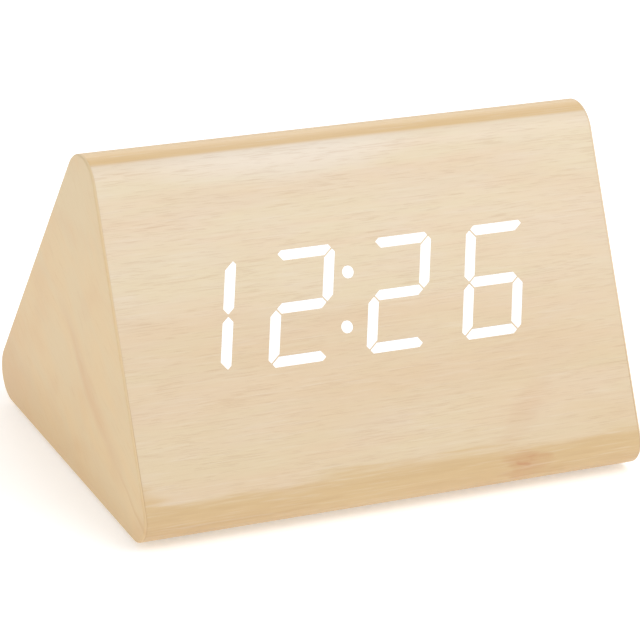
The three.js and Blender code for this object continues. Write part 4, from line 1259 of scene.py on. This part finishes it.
# %% Places on the cover
COVER_FACE = -0.2
COVER_BACK = -2.0
COVER_MIDDLE = (cover_y[0] + cover_y[1]) / 2
LEDGE = 1
SEAT = 0.1
DOOR_THICKNESS = 1.5
DOOR_BACK = COVER_FACE - DOOR_THICKNESS
DOOR_RADIUS = 1.5
BAY_WALL = 1.8
door_x = span("battery_door", BACK, 0)
bay_x = wider(door_x, FIT - LEDGE)
cell_low, cell_high = limits("battery_1", BACK)
CELL_RADIUS = (cell_high[2] - cell_low[2]) / 2
CELL_COUNT = 3
CELL_PITCH = (middle("battery_3", BACK)[1] - middle("battery_1", BACK)[1]) / (CELL_COUNT - 1)
CELL_SPACING = CELL_PITCH - 2 * CELL_RADIUS
CELL_EDGE = 0.5
bay_y = spread(COVER_MIDDLE, CELL_COUNT * CELL_PITCH - CELL_SPACING + 2 * CELL_EDGE)
door_y = wider(bay_y, LEDGE - FIT)
BAY_MIDDLE = (bay_x[0] + bay_x[1]) / 2
BAY_FLOOR = cell_low[2] - FIT
button_nodes = ["set_button", "up_button", "down_button"]
buttons = [middle(node, BACK) for node in button_nodes]
jack = middle("power_jack", BACK)
sounder = middle("sounder", BACK)
microphone = middle("microphone", BACK)
COVER_SCREW_COUNT = 4
cover_screws = [f"cover_screw_{i + 1}" for i in range(COVER_SCREW_COUNT)]
MAIN_SEAT = limits("power_jack", BACK)[0][2]
POST_COUNT = 2
posts = [middle(f"board_screw_{i + 1}", BACK) for i in range(POST_COUNT)]
print("battery bay in mm:", np.round(bay_x, 2), np.round(bay_y, 2), "floor", round(BAY_FLOOR, 2))

# %% Plate, bay and posts
POST_RADIUS = 2.6
POST_TOP = -1.1
POST_EASE = 0.15
BAY_CORNER = 1.2
BAY_INNER_CORNER = 0.4
FLOOR_EDGE = 0.15
FLOOR_EDGE_HEIGHT = 0.2
RIB_WIDTH = 2
RIB_HEIGHT = 2
RIB_ROOT = 0.9
RIB_CORNER = 0.5
RIB_SHARE = 0.6
LIP = 0.15

plate = slab(rectangle(cover_x, cover_y, COVER_RADIUS, COVER_STEPS), COVER_BACK, COVER_FACE, 0.35)
cover = piece_of("rear_cover_moulding", plate)
tub_loop = rectangle(wider(bay_x, BAY_WALL), wider(bay_y, BAY_WALL), BAY_CORNER)
tub = slab(tub_loop, BAY_FLOOR - BAY_WALL, (COVER_FACE + COVER_BACK) / 2, 0.05, 0.5)
columns = [drum(POST_RADIUS, MAIN_SEAT, POST_TOP, POST_EASE, POST_EASE, post, 40) for post in posts]
fused(cover, tub, together(*columns))
bay_wall = [(-FLOOR_EDGE, BAY_FLOOR), (0, BAY_FLOOR + FLOOR_EDGE_HEIGHT), (0, OVERRUN)]
carved(cover, carried(rectangle(bay_x, bay_y, BAY_INNER_CORNER), bay_wall))
recess = rectangle(wider(bay_x, LEDGE), wider(bay_y, LEDGE), DOOR_RADIUS + FIT)
carved(cover, opening(recess, DOOR_BACK - SEAT, COVER_FACE, LIP))
ribs = []
for i in range(CELL_COUNT - 1):
    rib_y = spread(COVER_MIDDLE + (i + 1 - CELL_COUNT / 2) * CELL_PITCH, RIB_WIDTH)
    rib_x = spread(BAY_MIDDLE, (bay_x[1] - bay_x[0]) * RIB_SHARE)
    rib_loop = rectangle(rib_x, rib_y, RIB_CORNER, 3)
    ribs.append(slab(rib_loop, BAY_FLOOR - RIB_ROOT, BAY_FLOOR + RIB_HEIGHT, 0.3, 0.05))
fused(cover, together(*ribs))
print("cover faces so far:", len(cover.data.polygons))

# %% Thumb scoop, and slots for the door's hooks
SCOOP_RADIUS = 7
SCOOP_REACH = 3.6
SCOOP_DEPTH = 1
SCOOP_FLOOR = COVER_FACE - SCOOP_DEPTH
SCOOP_MIDDLE = 0.5
SCOOP_EASE = 0.7
SCOOP_FLARE = 0.3
TAB_SPREAD = 30
TAB_WIDTH = 6
SLOT_DEEP = -3.9
scoop_centre = (BAY_MIDDLE, door_y[1] + SCOOP_REACH - SCOOP_RADIUS)
scoop_floor = [(SCOOP_MIDDLE - SCOOP_RADIUS, SCOOP_FLOOR), (0, SCOOP_FLOOR)]
scoop_wall = eased([*scoop_floor, (0, COVER_FACE), (SCOOP_FLARE, OVERRUN)], [0, SCOOP_EASE, 0, 0], 6)
carved(cover, carried(circle(scoop_centre, SCOOP_RADIUS, 64), scoop_wall))
slot_steps = [(bay_y[0] - BAY_WALL - OVERRUN, COVER_BACK), (bay_y[0] - LEDGE, COVER_FACE)]
for x in spread(BAY_MIDDLE, TAB_SPREAD):
    slot_x = spread(x, TAB_WIDTH + 2 * FIT)
    for start, top in slot_steps:
        slot_loop = rectangle(slot_x, (start, bay_y[0] + OVERRUN))
        carved(cover, straight(slot_loop, SLOT_DEEP, top))
print("cover faces with its slots:", len(cover.data.polygons))

# %% Holes of the controls and screws
BUTTON_HOLE = 3.15
JACK_HOLE = 3.5
SOUND_HOLE = 0.6
SOUND_RING = 2.4
SOUND_COUNT = 6
MICROPHONE_HOLE = 0.75
SCREW_HOLE = 1.22
SCREW_WELL = 2.4
SCREW_WELL_FLOOR = -1.3
PILOT_HOLE = 1.05
PILOT_DEPTH = 3.4
holes = [circle(place, BUTTON_HOLE, 64) for place in buttons]
holes.append(circle(jack, JACK_HOLE, 64))
around = np.linspace(0, 2 * np.pi, SOUND_COUNT, endpoint=False)
ring = sounder[:2] + SOUND_RING * np.stack([np.cos(around), np.sin(around)], 1)
holes += [circle(place, SOUND_HOLE, 24) for place in [sounder[:2], *ring]]
holes.append(circle(microphone, MICROPHONE_HOLE, 24))
carved(cover, together(*(opening(hole, COVER_BACK - OVERRUN, COVER_FACE, LIP) for hole in holes)))
screw_places = [middle(node, BACK) for node in cover_screws]
wells = [opening(circle(place, SCREW_WELL, 48), SCREW_WELL_FLOOR, COVER_FACE, LIP) for place in screw_places]
shafts = [straight(circle(place, SCREW_HOLE, 32), COVER_BACK - OVERRUN, OVERRUN) for place in screw_places]
carved(cover, together(*wells), together(*shafts))
pilot_reach = (MAIN_SEAT - OVERRUN, MAIN_SEAT + PILOT_DEPTH)
carved(cover, together(*(straight(circle(place, PILOT_HOLE, 24), *pilot_reach) for place in posts)))
finished(cover, BACK, "root", "black_moulding", black, "rear_cover")

# %% [markdown]
# ## Marks beside the buttons
#
# A ring marks the button that sets the clock, and two arrows mark up and down. They stand a fifth
# of a millimetre proud of the cover. A printed texture would need an image, and raised forms also
# catch the light as moulded marks do.

# %% Ring and arrows
MARK_RADIUS = 1.5
MARK_STROKE = 0.45
MARK_RISE = 0.2
MARK_GAP = 2.4
MARK_ROOT = 0.3
BUTTON_RADIUS = 2.9


def mark(i):
    """Mark i as a form: a ring whose profile is a closed rectangle, or a triangle carried up."""
    x, y = buttons[i][0] - BUTTON_RADIUS - MARK_GAP, buttons[i][1]
    foot, top = COVER_FACE - MARK_ROOT, COVER_FACE + MARK_RISE
    if i == 0:
        reach = (MARK_RADIUS - MARK_STROKE, MARK_RADIUS)
        profile = eased(rectangle(reach, (foot, top)), [0, 0, 0.08, 0.08], 3, closed=True)
        return turned(profile, (x, y), 48, endless=True)
    turn = math.pi / 2 if i == 1 else -math.pi / 2
    angle = turn + np.arange(3) * 2 * np.pi / 3
    corners = np.stack([x + MARK_RADIUS * np.cos(angle), y + MARK_RADIUS * np.sin(angle)], 1)
    return slab(eased(corners, 0.18, 4, closed=True), foot, top, 0.06, 0.02)


marks = piece_of("button_marks", together(*(mark(i) for i in range(len(buttons)))))
finished(marks, BACK, "root", "black_moulding", mark_paint)

# %% [markdown]
# ## Battery door
#
# The door is a thin plate with two hooks along its lower edge, a latch at its upper edge and
# three raised grips for the thumb. All of it swings together, so it is one mesh on its own body.

# %% Door plate, grips, hooks and latch
TAB_REACH = 1
TAB_TOP = -2.3
TAB_BOTTOM = -3.3
TAB_WEB = 1.1
GRIP_WIDTH = 11
GRIP_THICKNESS = 0.7
GRIP_PITCH = 1.8
GRIP_INSET = 2.4
GRIP_HEIGHT = 0.25
GRIP_END = 0.34
GRIP_COUNT = 3
LATCH_WIDTH = 9
LATCH_THICKNESS = 1
LATCH_INSET = 0.6
LATCH_EDGE = 0.1
LATCH_REACH = 1.7
LATCH_FOOT = DOOR_BACK - LATCH_REACH
LATCH_NOSE = 0.25
LATCH_NOSE_HEIGHT = 0.7
door_core = (COVER_FACE + DOOR_BACK) / 2
door_plate = slab(rectangle(door_x, door_y, DOOR_RADIUS), DOOR_BACK, COVER_FACE, 0.25)
door = piece_of("battery_door_plate", door_plate)
grips = []
for i in range(GRIP_COUNT):
    grip_y = spread(door_y[1] - GRIP_INSET - i * GRIP_PITCH, GRIP_THICKNESS)
    grip_loop = rectangle(spread(BAY_MIDDLE, GRIP_WIDTH), grip_y, GRIP_END)
    grips.append(slab(grip_loop, door_core, COVER_FACE + GRIP_HEIGHT, 0.13, 0.02))
web_y = (bay_y[0] + FIT, bay_y[0] + FIT + TAB_WEB)
hooks, webs = [], []
for x in spread(BAY_MIDDLE, TAB_SPREAD):
    tab_x = spread(x, TAB_WIDTH)
    webs.append(straight(rectangle(tab_x, web_y), TAB_BOTTOM, door_core))
    hook_loop = rectangle(tab_x, (door_y[0] - TAB_REACH, web_y[1]), 0.3, 3)
    hooks.append(slab(hook_loop, TAB_BOTTOM, TAB_TOP, 0.1, 0.1))
latch_face = bay_y[1] - LATCH_INSET
latch_x = spread(BAY_MIDDLE, LATCH_WIDTH)
latch_y = (latch_face - LATCH_THICKNESS, latch_face)
latch_wall = [(-LATCH_EDGE, LATCH_FOOT), (0, LATCH_FOOT + LATCH_EDGE), (0, door_core)]
latch = carried(rectangle(latch_x, latch_y), latch_wall)
nose_loop = rectangle(latch_x, (latch_face - LATCH_THICKNESS / 2, latch_face + LATCH_NOSE))
nose = slab(nose_loop, LATCH_FOOT, LATCH_FOOT + LATCH_NOSE_HEIGHT, 0.12, 0.12)
fused(door, together(*grips), together(*webs), together(*hooks), latch, nose)
finished(door, BACK, "battery_door", "black_moulding", black, "battery_door")

# %% [markdown]
# ## Buttons, screws and the power socket
#
# Nearly all of these are lathe forms standing in the cover. The buttons have a shallow dish for
# the fingertip. The screws have a domed head, a cross with tapered arms and a threaded shank.


# %% Buttons
DISH_SHARE = 0.78
DISH_DEPTH = 0.18
DISH_STEPS = 7


def button(node):
    """A button's profile: a flange below the cover, a straight wall, and a top that dips by the
    square of the distance from its rim."""
    low, high = limits(node, BACK)
    flange, seat = (high[0] - low[0]) / 2, COVER_BACK - SEAT
    dish = np.linspace(DISH_SHARE, 0, DISH_STEPS) * BUTTON_RADIUS
    dip = high[2] - DISH_DEPTH * (1 - (dish / dish[0]) ** 2)
    wall = [(0, low[2]), (flange, low[2]), (flange, seat), (BUTTON_RADIUS, seat), (BUTTON_RADIUS, high[2]),
            (dish[0], high[2])]
    profile = [*eased(wall, [0, 0.1, 0.1, 0.1, 0.3, 0], 5), *np.stack([dish, dip], 1)[1:]]
    piece = piece_of(node + "_cap", turned(profile, (low + high) / 2, 72))
    return finished(piece, BACK, node, "black_moulding", black, node)


for node in button_nodes:
    button(node)


# %% Cover screws
SCREW_HEAD = 1
SCREW_SHANK = 1.1
THREAD_DEPTH = 0.22
THREAD_PITCH = 0.55
THREAD_STEPS = 6
NECK = 0.3
POINT_SHARE = 0.25
POINT_RISE = 0.1
FLAT_SHARE = 0.4
HEAD_DOME = 0.45
CROSS_WIDTH = 0.6
CROSS_SHARE = 0.62
CROSS_DEPTH = 0.5
CROSS_TAPER = 0.14
CROSS_FLARE = 0.02
CROSS_OVERRUN = 0.1


def cover_screw(node):
    """A screw's profile: a point, a shank whose radius swings in and out once per thread, and a
    head with a domed rim. Two tapered bars are cut out of the head as its cross."""
    low, high = limits(node, BACK)
    centre, top, under, tip = (low + high) / 2, high[2], high[2] - SCREW_HEAD, low[2]
    head = (high[0] - low[0]) / 2
    rise = np.arange(tip + SCREW_SHANK, under - NECK, THREAD_PITCH / THREAD_STEPS)
    thread = SCREW_SHANK - THREAD_DEPTH * (0.5 - 0.5 * np.cos(2 * np.pi * rise / THREAD_PITCH))
    point = (SCREW_SHANK * POINT_SHARE, tip + POINT_RISE)
    shank = [(0, tip), point, *np.stack([thread, rise], 1), (SCREW_SHANK, under)]
    cap = [(SCREW_SHANK, under), (head, under), (head, top), (FLAT_SHARE * head, top)]
    cap = eased(cap, [0, 0.1, HEAD_DOME, 0], 6)
    piece = piece_of(node + "_head", turned([*shank, *cap[1:], (0, top)], centre, 48))
    arm, half = head * CROSS_SHARE, CROSS_WIDTH / 2
    bars = [rectangle(spread(centre[0], 2 * reach), spread(centre[1], 2 * width))
            for reach, width in ((arm, half), (half, arm))]
    for bar in bars:
        carved(piece, carried(bar, [(-CROSS_TAPER, top - CROSS_DEPTH), (CROSS_FLARE, top + CROSS_OVERRUN)]))
    return finished(piece, BACK, "root", "steel", steel, node)


for node in cover_screws:
    cover_screw(node)

# %% Power socket and its pin
JACK_NOSE = 3.2
JACK_BORE = 1.85
JACK_FLOOR = 1.2
JACK_LIP = 0.3
PIN_HOLE = 0.77
PIN_HOLE_FLOOR = 0.5
PIN_RADIUS = 0.65
JACK_SHOULDER = COVER_BACK - FIT
jack_low, jack_high = limits("power_jack", BACK)
housing_loop = rectangle((jack_low[0], jack_high[0]), (jack_low[1], jack_high[1]), 0.5, 4)
socket = piece_of("power_socket", slab(housing_loop, jack_low[2], JACK_SHOULDER, 0.2))
fused(socket, drum(JACK_NOSE, JACK_SHOULDER - OVERRUN, jack_high[2], 0, 0.2, jack))
carved(socket, opening(circle(jack, JACK_BORE, 48), MAIN_SEAT + JACK_FLOOR, jack_high[2], JACK_LIP))
carved(socket, straight(circle(jack, PIN_HOLE), MAIN_SEAT + PIN_HOLE_FLOOR, OVERRUN))
finished(socket, BACK, "root", "black_moulding", black, "power_jack")
pin_low, pin_high = limits("jack_pin", BACK)
pin = piece_of("power_pin", drum(PIN_RADIUS, pin_low[2], pin_high[2], 0.05, 0.5, jack, 32, 6))
finished(pin, BACK, "root", "brass_pin", brass, "jack_pin", sharp=50)

# %% [markdown]
# ## Batteries and their contacts
#
# Three small cells lie side by side, the middle one turned round. Each presses on a cone-shaped
# spring. A cell is a lathe form with a sleeve that folds over both ends. The spring is a tube
# carried along a rising spiral, because a stack of rings would not look wound.

# %% A place for each cell, with its axis as the upright one
CONTACT_THICKNESS = 0.4
SPRING_FOOT = -(bay_x[1] - bay_x[0]) / 2 + FIT + CONTACT_THICKNESS
SPRING_LENGTH = 4.6
CELL_FOOT = SPRING_FOOT + SPRING_LENGTH + FIT
CELL_LENGTH = cell_high[0] - cell_low[0]
PLATE_FOOT = CELL_FOOT + CELL_LENGTH + 2 * FIT
CELL_DEPTH = (cell_low[2] + cell_high[2]) / 2


def cell_place(i, foot):
    """Origin and axes of cell i: upright is along the clock, from the spring to the flat contact,
    and the middle cell points the other way."""
    origin, (along, up, out) = BACK
    way = -1 if i % 2 else 1
    height = COVER_MIDDLE + (i - (CELL_COUNT - 1) / 2) * CELL_PITCH
    base = origin + BAY_MIDDLE * along + height * up + CELL_DEPTH * out
    return base + way * foot * along, np.array([way * up, out, way * along])


# %% Sleeves and cells
NUB_RADIUS = 1.9
NUB_HEIGHT = 0.9
SHOULDER = CELL_LENGTH - NUB_HEIGHT
SLEEVE = 0.25
SLEEVE_START = (0.3, 0.4)
SLEEVE_END = (-0.2, -0.1)
BAND_START = (34.0, 34.2)
FOLD_RISE = 0.12
FOLD_INNER = 0.62
FOLD_OUTER = 0.66
SHOULDER_SHARE = 0.7


def printed_sleeve(name, way):
    """A cell's skin by its height along the cell, which is measured along x: bare metal at both
    ends, a sleeve between them, and a darker band near the raised contact."""
    finish = Finish(name)
    height = (finish.x + BAY_MIDDLE) * -way - CELL_FOOT
    bare = height.falling(*SLEEVE_START) + height.rising(*(SHOULDER + edge for edge in SLEEVE_END))
    cloud = finish.noise((5, 5, 5), 2)
    colour = finish.blend(cloud, shade(58, 84, 132), shade(66, 94, 142))
    colour = finish.blend(height.rising(*BAND_START), colour, shade(34, 42, 60))
    colour = finish.blend(bare, colour, shade(196, 198, 200))
    return finish.shaded(cloud, 0.02, Base_Color=colour, Metallic=bare, Roughness=0.3 + cloud * 0.08)


forward_sleeve = printed_sleeve("cell_sleeve", 1)
backward_sleeve = printed_sleeve("cell_sleeve_turned", -1)
jackets = [forward_sleeve, backward_sleeve, forward_sleeve]


def cell(i):
    """A cell's profile from its flat end up: the folded sleeve, the wall, the shoulder, and the
    raised contact."""
    radius, inner, outer = CELL_RADIUS, FOLD_INNER * CELL_RADIUS, FOLD_OUTER * CELL_RADIUS
    profile = [
        (0, FOLD_RISE), (inner, FOLD_RISE), (outer, 0), (radius, 0), (radius, SHOULDER),
        (SHOULDER_SHARE * radius, SHOULDER), (outer, SHOULDER - SLEEVE),
        (NUB_RADIUS, SHOULDER - SLEEVE), (NUB_RADIUS, CELL_LENGTH), (0, CELL_LENGTH),
    ]
    form = turned(eased(profile, [0, 0.05, 0.05, 0.4, 0.45, 0.1, 0.05, 0.2, 0.3, 0], 5), sides=72)
    piece = piece_of(f"cell_{i + 1}", form)
    return finished(piece, cell_place(i, CELL_FOOT), "root", "cell_jacket", jackets[i], f"battery_{i + 1}")


# %% Springs and contact plates
CONTACT = 8.4
CONTACT_CORNER = 0.8
SPRING_BASE = 3.5
SPRING_TIP = 1.9
SPRING_TURNS = 3.5
SPRING_STEPS = 120
WIRE = 0.3
WIRE_SIDES = 10
WIRE_SINK = 0.1
EVEN_RISE = 0.75
DOME_TOP = 1.2
DOME_FOOT = 2.2
DOME_ROOT = 0.2
contact_loop = rectangle(spread(0, CONTACT), spread(0, CONTACT), CONTACT_CORNER, 5)


def coil():
    """A round wire along a rising spiral. The spiral's radius shrinks evenly and its end turns
    lie flatter, since part of its rise is a smooth step, three times the share squared less twice
    the share cubed. The wire's circle lies in the upright plane through the spiral's axis."""
    share = np.linspace(0, 1, SPRING_STEPS)[:, None]
    angle = 2 * np.pi * SPRING_TURNS * share
    radius = SPRING_BASE + (SPRING_TIP - SPRING_BASE) * share
    risen = EVEN_RISE * share + (1 - EVEN_RISE) * share**2 * (3 - 2 * share)
    rise = WIRE_SINK + (SPRING_LENGTH - WIRE - WIRE_SINK) * risen
    around = np.linspace(0, 2 * np.pi, WIRE_SIDES, endpoint=False)
    reach = radius + WIRE * np.cos(around)
    return stack(np.stack([reach * np.cos(angle), reach * np.sin(angle), rise + WIRE * np.sin(around)], -1))


def spring(i):
    """The sprung contact of cell i: a plate with the coil standing on it."""
    piece = fused(piece_of(f"spring_{i + 1}", slab(contact_loop, -CONTACT_THICKNESS, 0, 0.1)), coil())
    place = cell_place(i, SPRING_FOOT)
    return finished(piece, place, "root", "steel", steel, f"battery_spring_{i + 1}", sharp=40)


def flat_contact(i):
    """The flat contact of cell i, with the dimple that the cell presses on."""
    piece = piece_of(f"contact_{i + 1}", slab(contact_loop, 0, CONTACT_THICKNESS, 0.1))
    dome = [(0, -FIT), (DOME_TOP, -FIT), (DOME_FOOT, DOME_ROOT), (0, DOME_ROOT)]
    fused(piece, turned(eased(dome, [0, 0.8, 0, 0], 6), sides=40))
    return finished(piece, cell_place(i, PLATE_FOOT), "root", "steel", steel, f"contact_plate_{i + 1}")


for i in range(CELL_COUNT):
    cell(i)
    spring(i)
    flat_contact(i)

# %% [markdown]
# ## Finish for the parts that stay as packed
#
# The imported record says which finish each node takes. A finish goes into the material slot of the
# node's object, and its mesh is left alone.

# %% Finish every node that is still shown
kept = 0
for part in frame["record"]["subparts"]:
    node = frame["nodes"][part["node"]]
    if not node.hide_render:
        node.data.materials.clear()
        node.data.materials.append(packed_finishes[part["material_slot"]])
        kept += 1
print("nodes shown as packed:", kept)

# %% [markdown]
# ## Floor and light
#
# The photograph was taken on white, in soft light from all round. An even white sky gives that,
# and the white floor shines a little itself, so that it comes out as bright as the background.
# Three panels shape the light: a large high one in front and to the right lays the pale sheen on
# the front, a weaker one lights the left end, and one behind keeps the top edge bright. They are
# area lights of real sizes, so their reflections have the right spread.

# %% Floor
FLOOR_HALF = 2.0
FLOOR_GLOW = 0.3
FLOOR_CLOUD = (300, 300, 300)
corners = np.array([(-1, -1, 0), (1, -1, 0), (1, 1, 0), (-1, 1, 0)]) * FLOOR_HALF
floor = piece_of("floor", (corners, [np.array([[0, 1, 2, 3]])]))
paper = Finish("floor_paper")
floor.data.materials.append(paper.shaded(
    Base_Color=paper.blend(paper.noise(FLOOR_CLOUD, 1), shade(246, 246, 246), shade(250, 250, 250)),
    Roughness=0.9, Specular_IOR_Level=0.1, Emission_Color=WHITE, Emission_Strength=FLOOR_GLOW,
))


# %% Sky and softboxes
SKY_STRENGTH = 0.66
world = bpy.data.worlds.new("White room")
bpy.context.scene.world = world
world.use_nodes = True
background = world.node_tree.nodes["Background"]
background.inputs["Color"].default_value = WHITE
background.inputs["Strength"].default_value = SKY_STRENGTH


def softbox(name, direction, distance, size, brightness):
    """A square panel that faces the clock from a direction. A panel that sends out an even
    brightness needs a power of that brightness times pi times its area."""
    lamp = bpy.data.lights.new(name, "AREA")
    lamp.shape = "SQUARE"
    lamp.size = size
    lamp.energy = brightness * math.pi * size**2
    panel = bpy.data.objects.new(name, lamp)
    bpy.context.scene.collection.objects.link(panel)
    away = Vector(unit(np.array(direction, float)).tolist())
    turn = away.to_track_quat("Z", "Y").to_matrix().to_4x4()
    panel.matrix_world = Matrix.Translation(away * distance) @ turn
    print(name, "power in watts:", round(lamp.energy, 2))


softbox("high_panel", (0.42, -0.43, 0.80), distance=1.3, size=1.0, brightness=2.3)
softbox("left_panel", (-0.95, -0.25, 0.45), distance=1.5, size=0.9, brightness=1.0)
softbox("back_panel", (0.35, 0.85, 0.55), distance=1.6, size=0.9, brightness=1.6)

# %% [markdown]
# ## Camera
#
# The photograph looks down on the front-left of the clock through a long lens. Its place, turn
# and lens were found by fitting the clock's long edges and its end to the picture, so the render
# can be laid over it.

# %% Camera at the photograph's place
CAMERA_PLACE = (-350.434, -662.069, 368.672)
CAMERA_RIGHT = (0.89650, -0.43769, 0.06871)
CAMERA_UP = (0.12483, 0.39833, 0.90871)
CAMERA_BACK = (-0.42510, -0.80608, 0.41174)
FOCAL_PIXELS = 3425.44
PICTURE_PIXELS = 640
SENSOR = 36
camera_data = bpy.data.cameras.new("camera")
camera_data.sensor_width = SENSOR
camera_data.lens = FOCAL_PIXELS * SENSOR / PICTURE_PIXELS
camera_data.clip_start = 0.01
camera_data.clip_end = 50
camera = bpy.data.objects.new("camera", camera_data)
bpy.context.scene.collection.objects.link(camera)
turn = Matrix((CAMERA_RIGHT, CAMERA_UP, CAMERA_BACK)).transposed().to_4x4()
camera.matrix_world = Matrix.Translation([size * MM for size in CAMERA_PLACE]) @ turn
bpy.context.scene.camera = camera
bpy.context.scene.view_settings.view_transform = "Standard"
print("lens in mm:", round(camera_data.lens, 2))
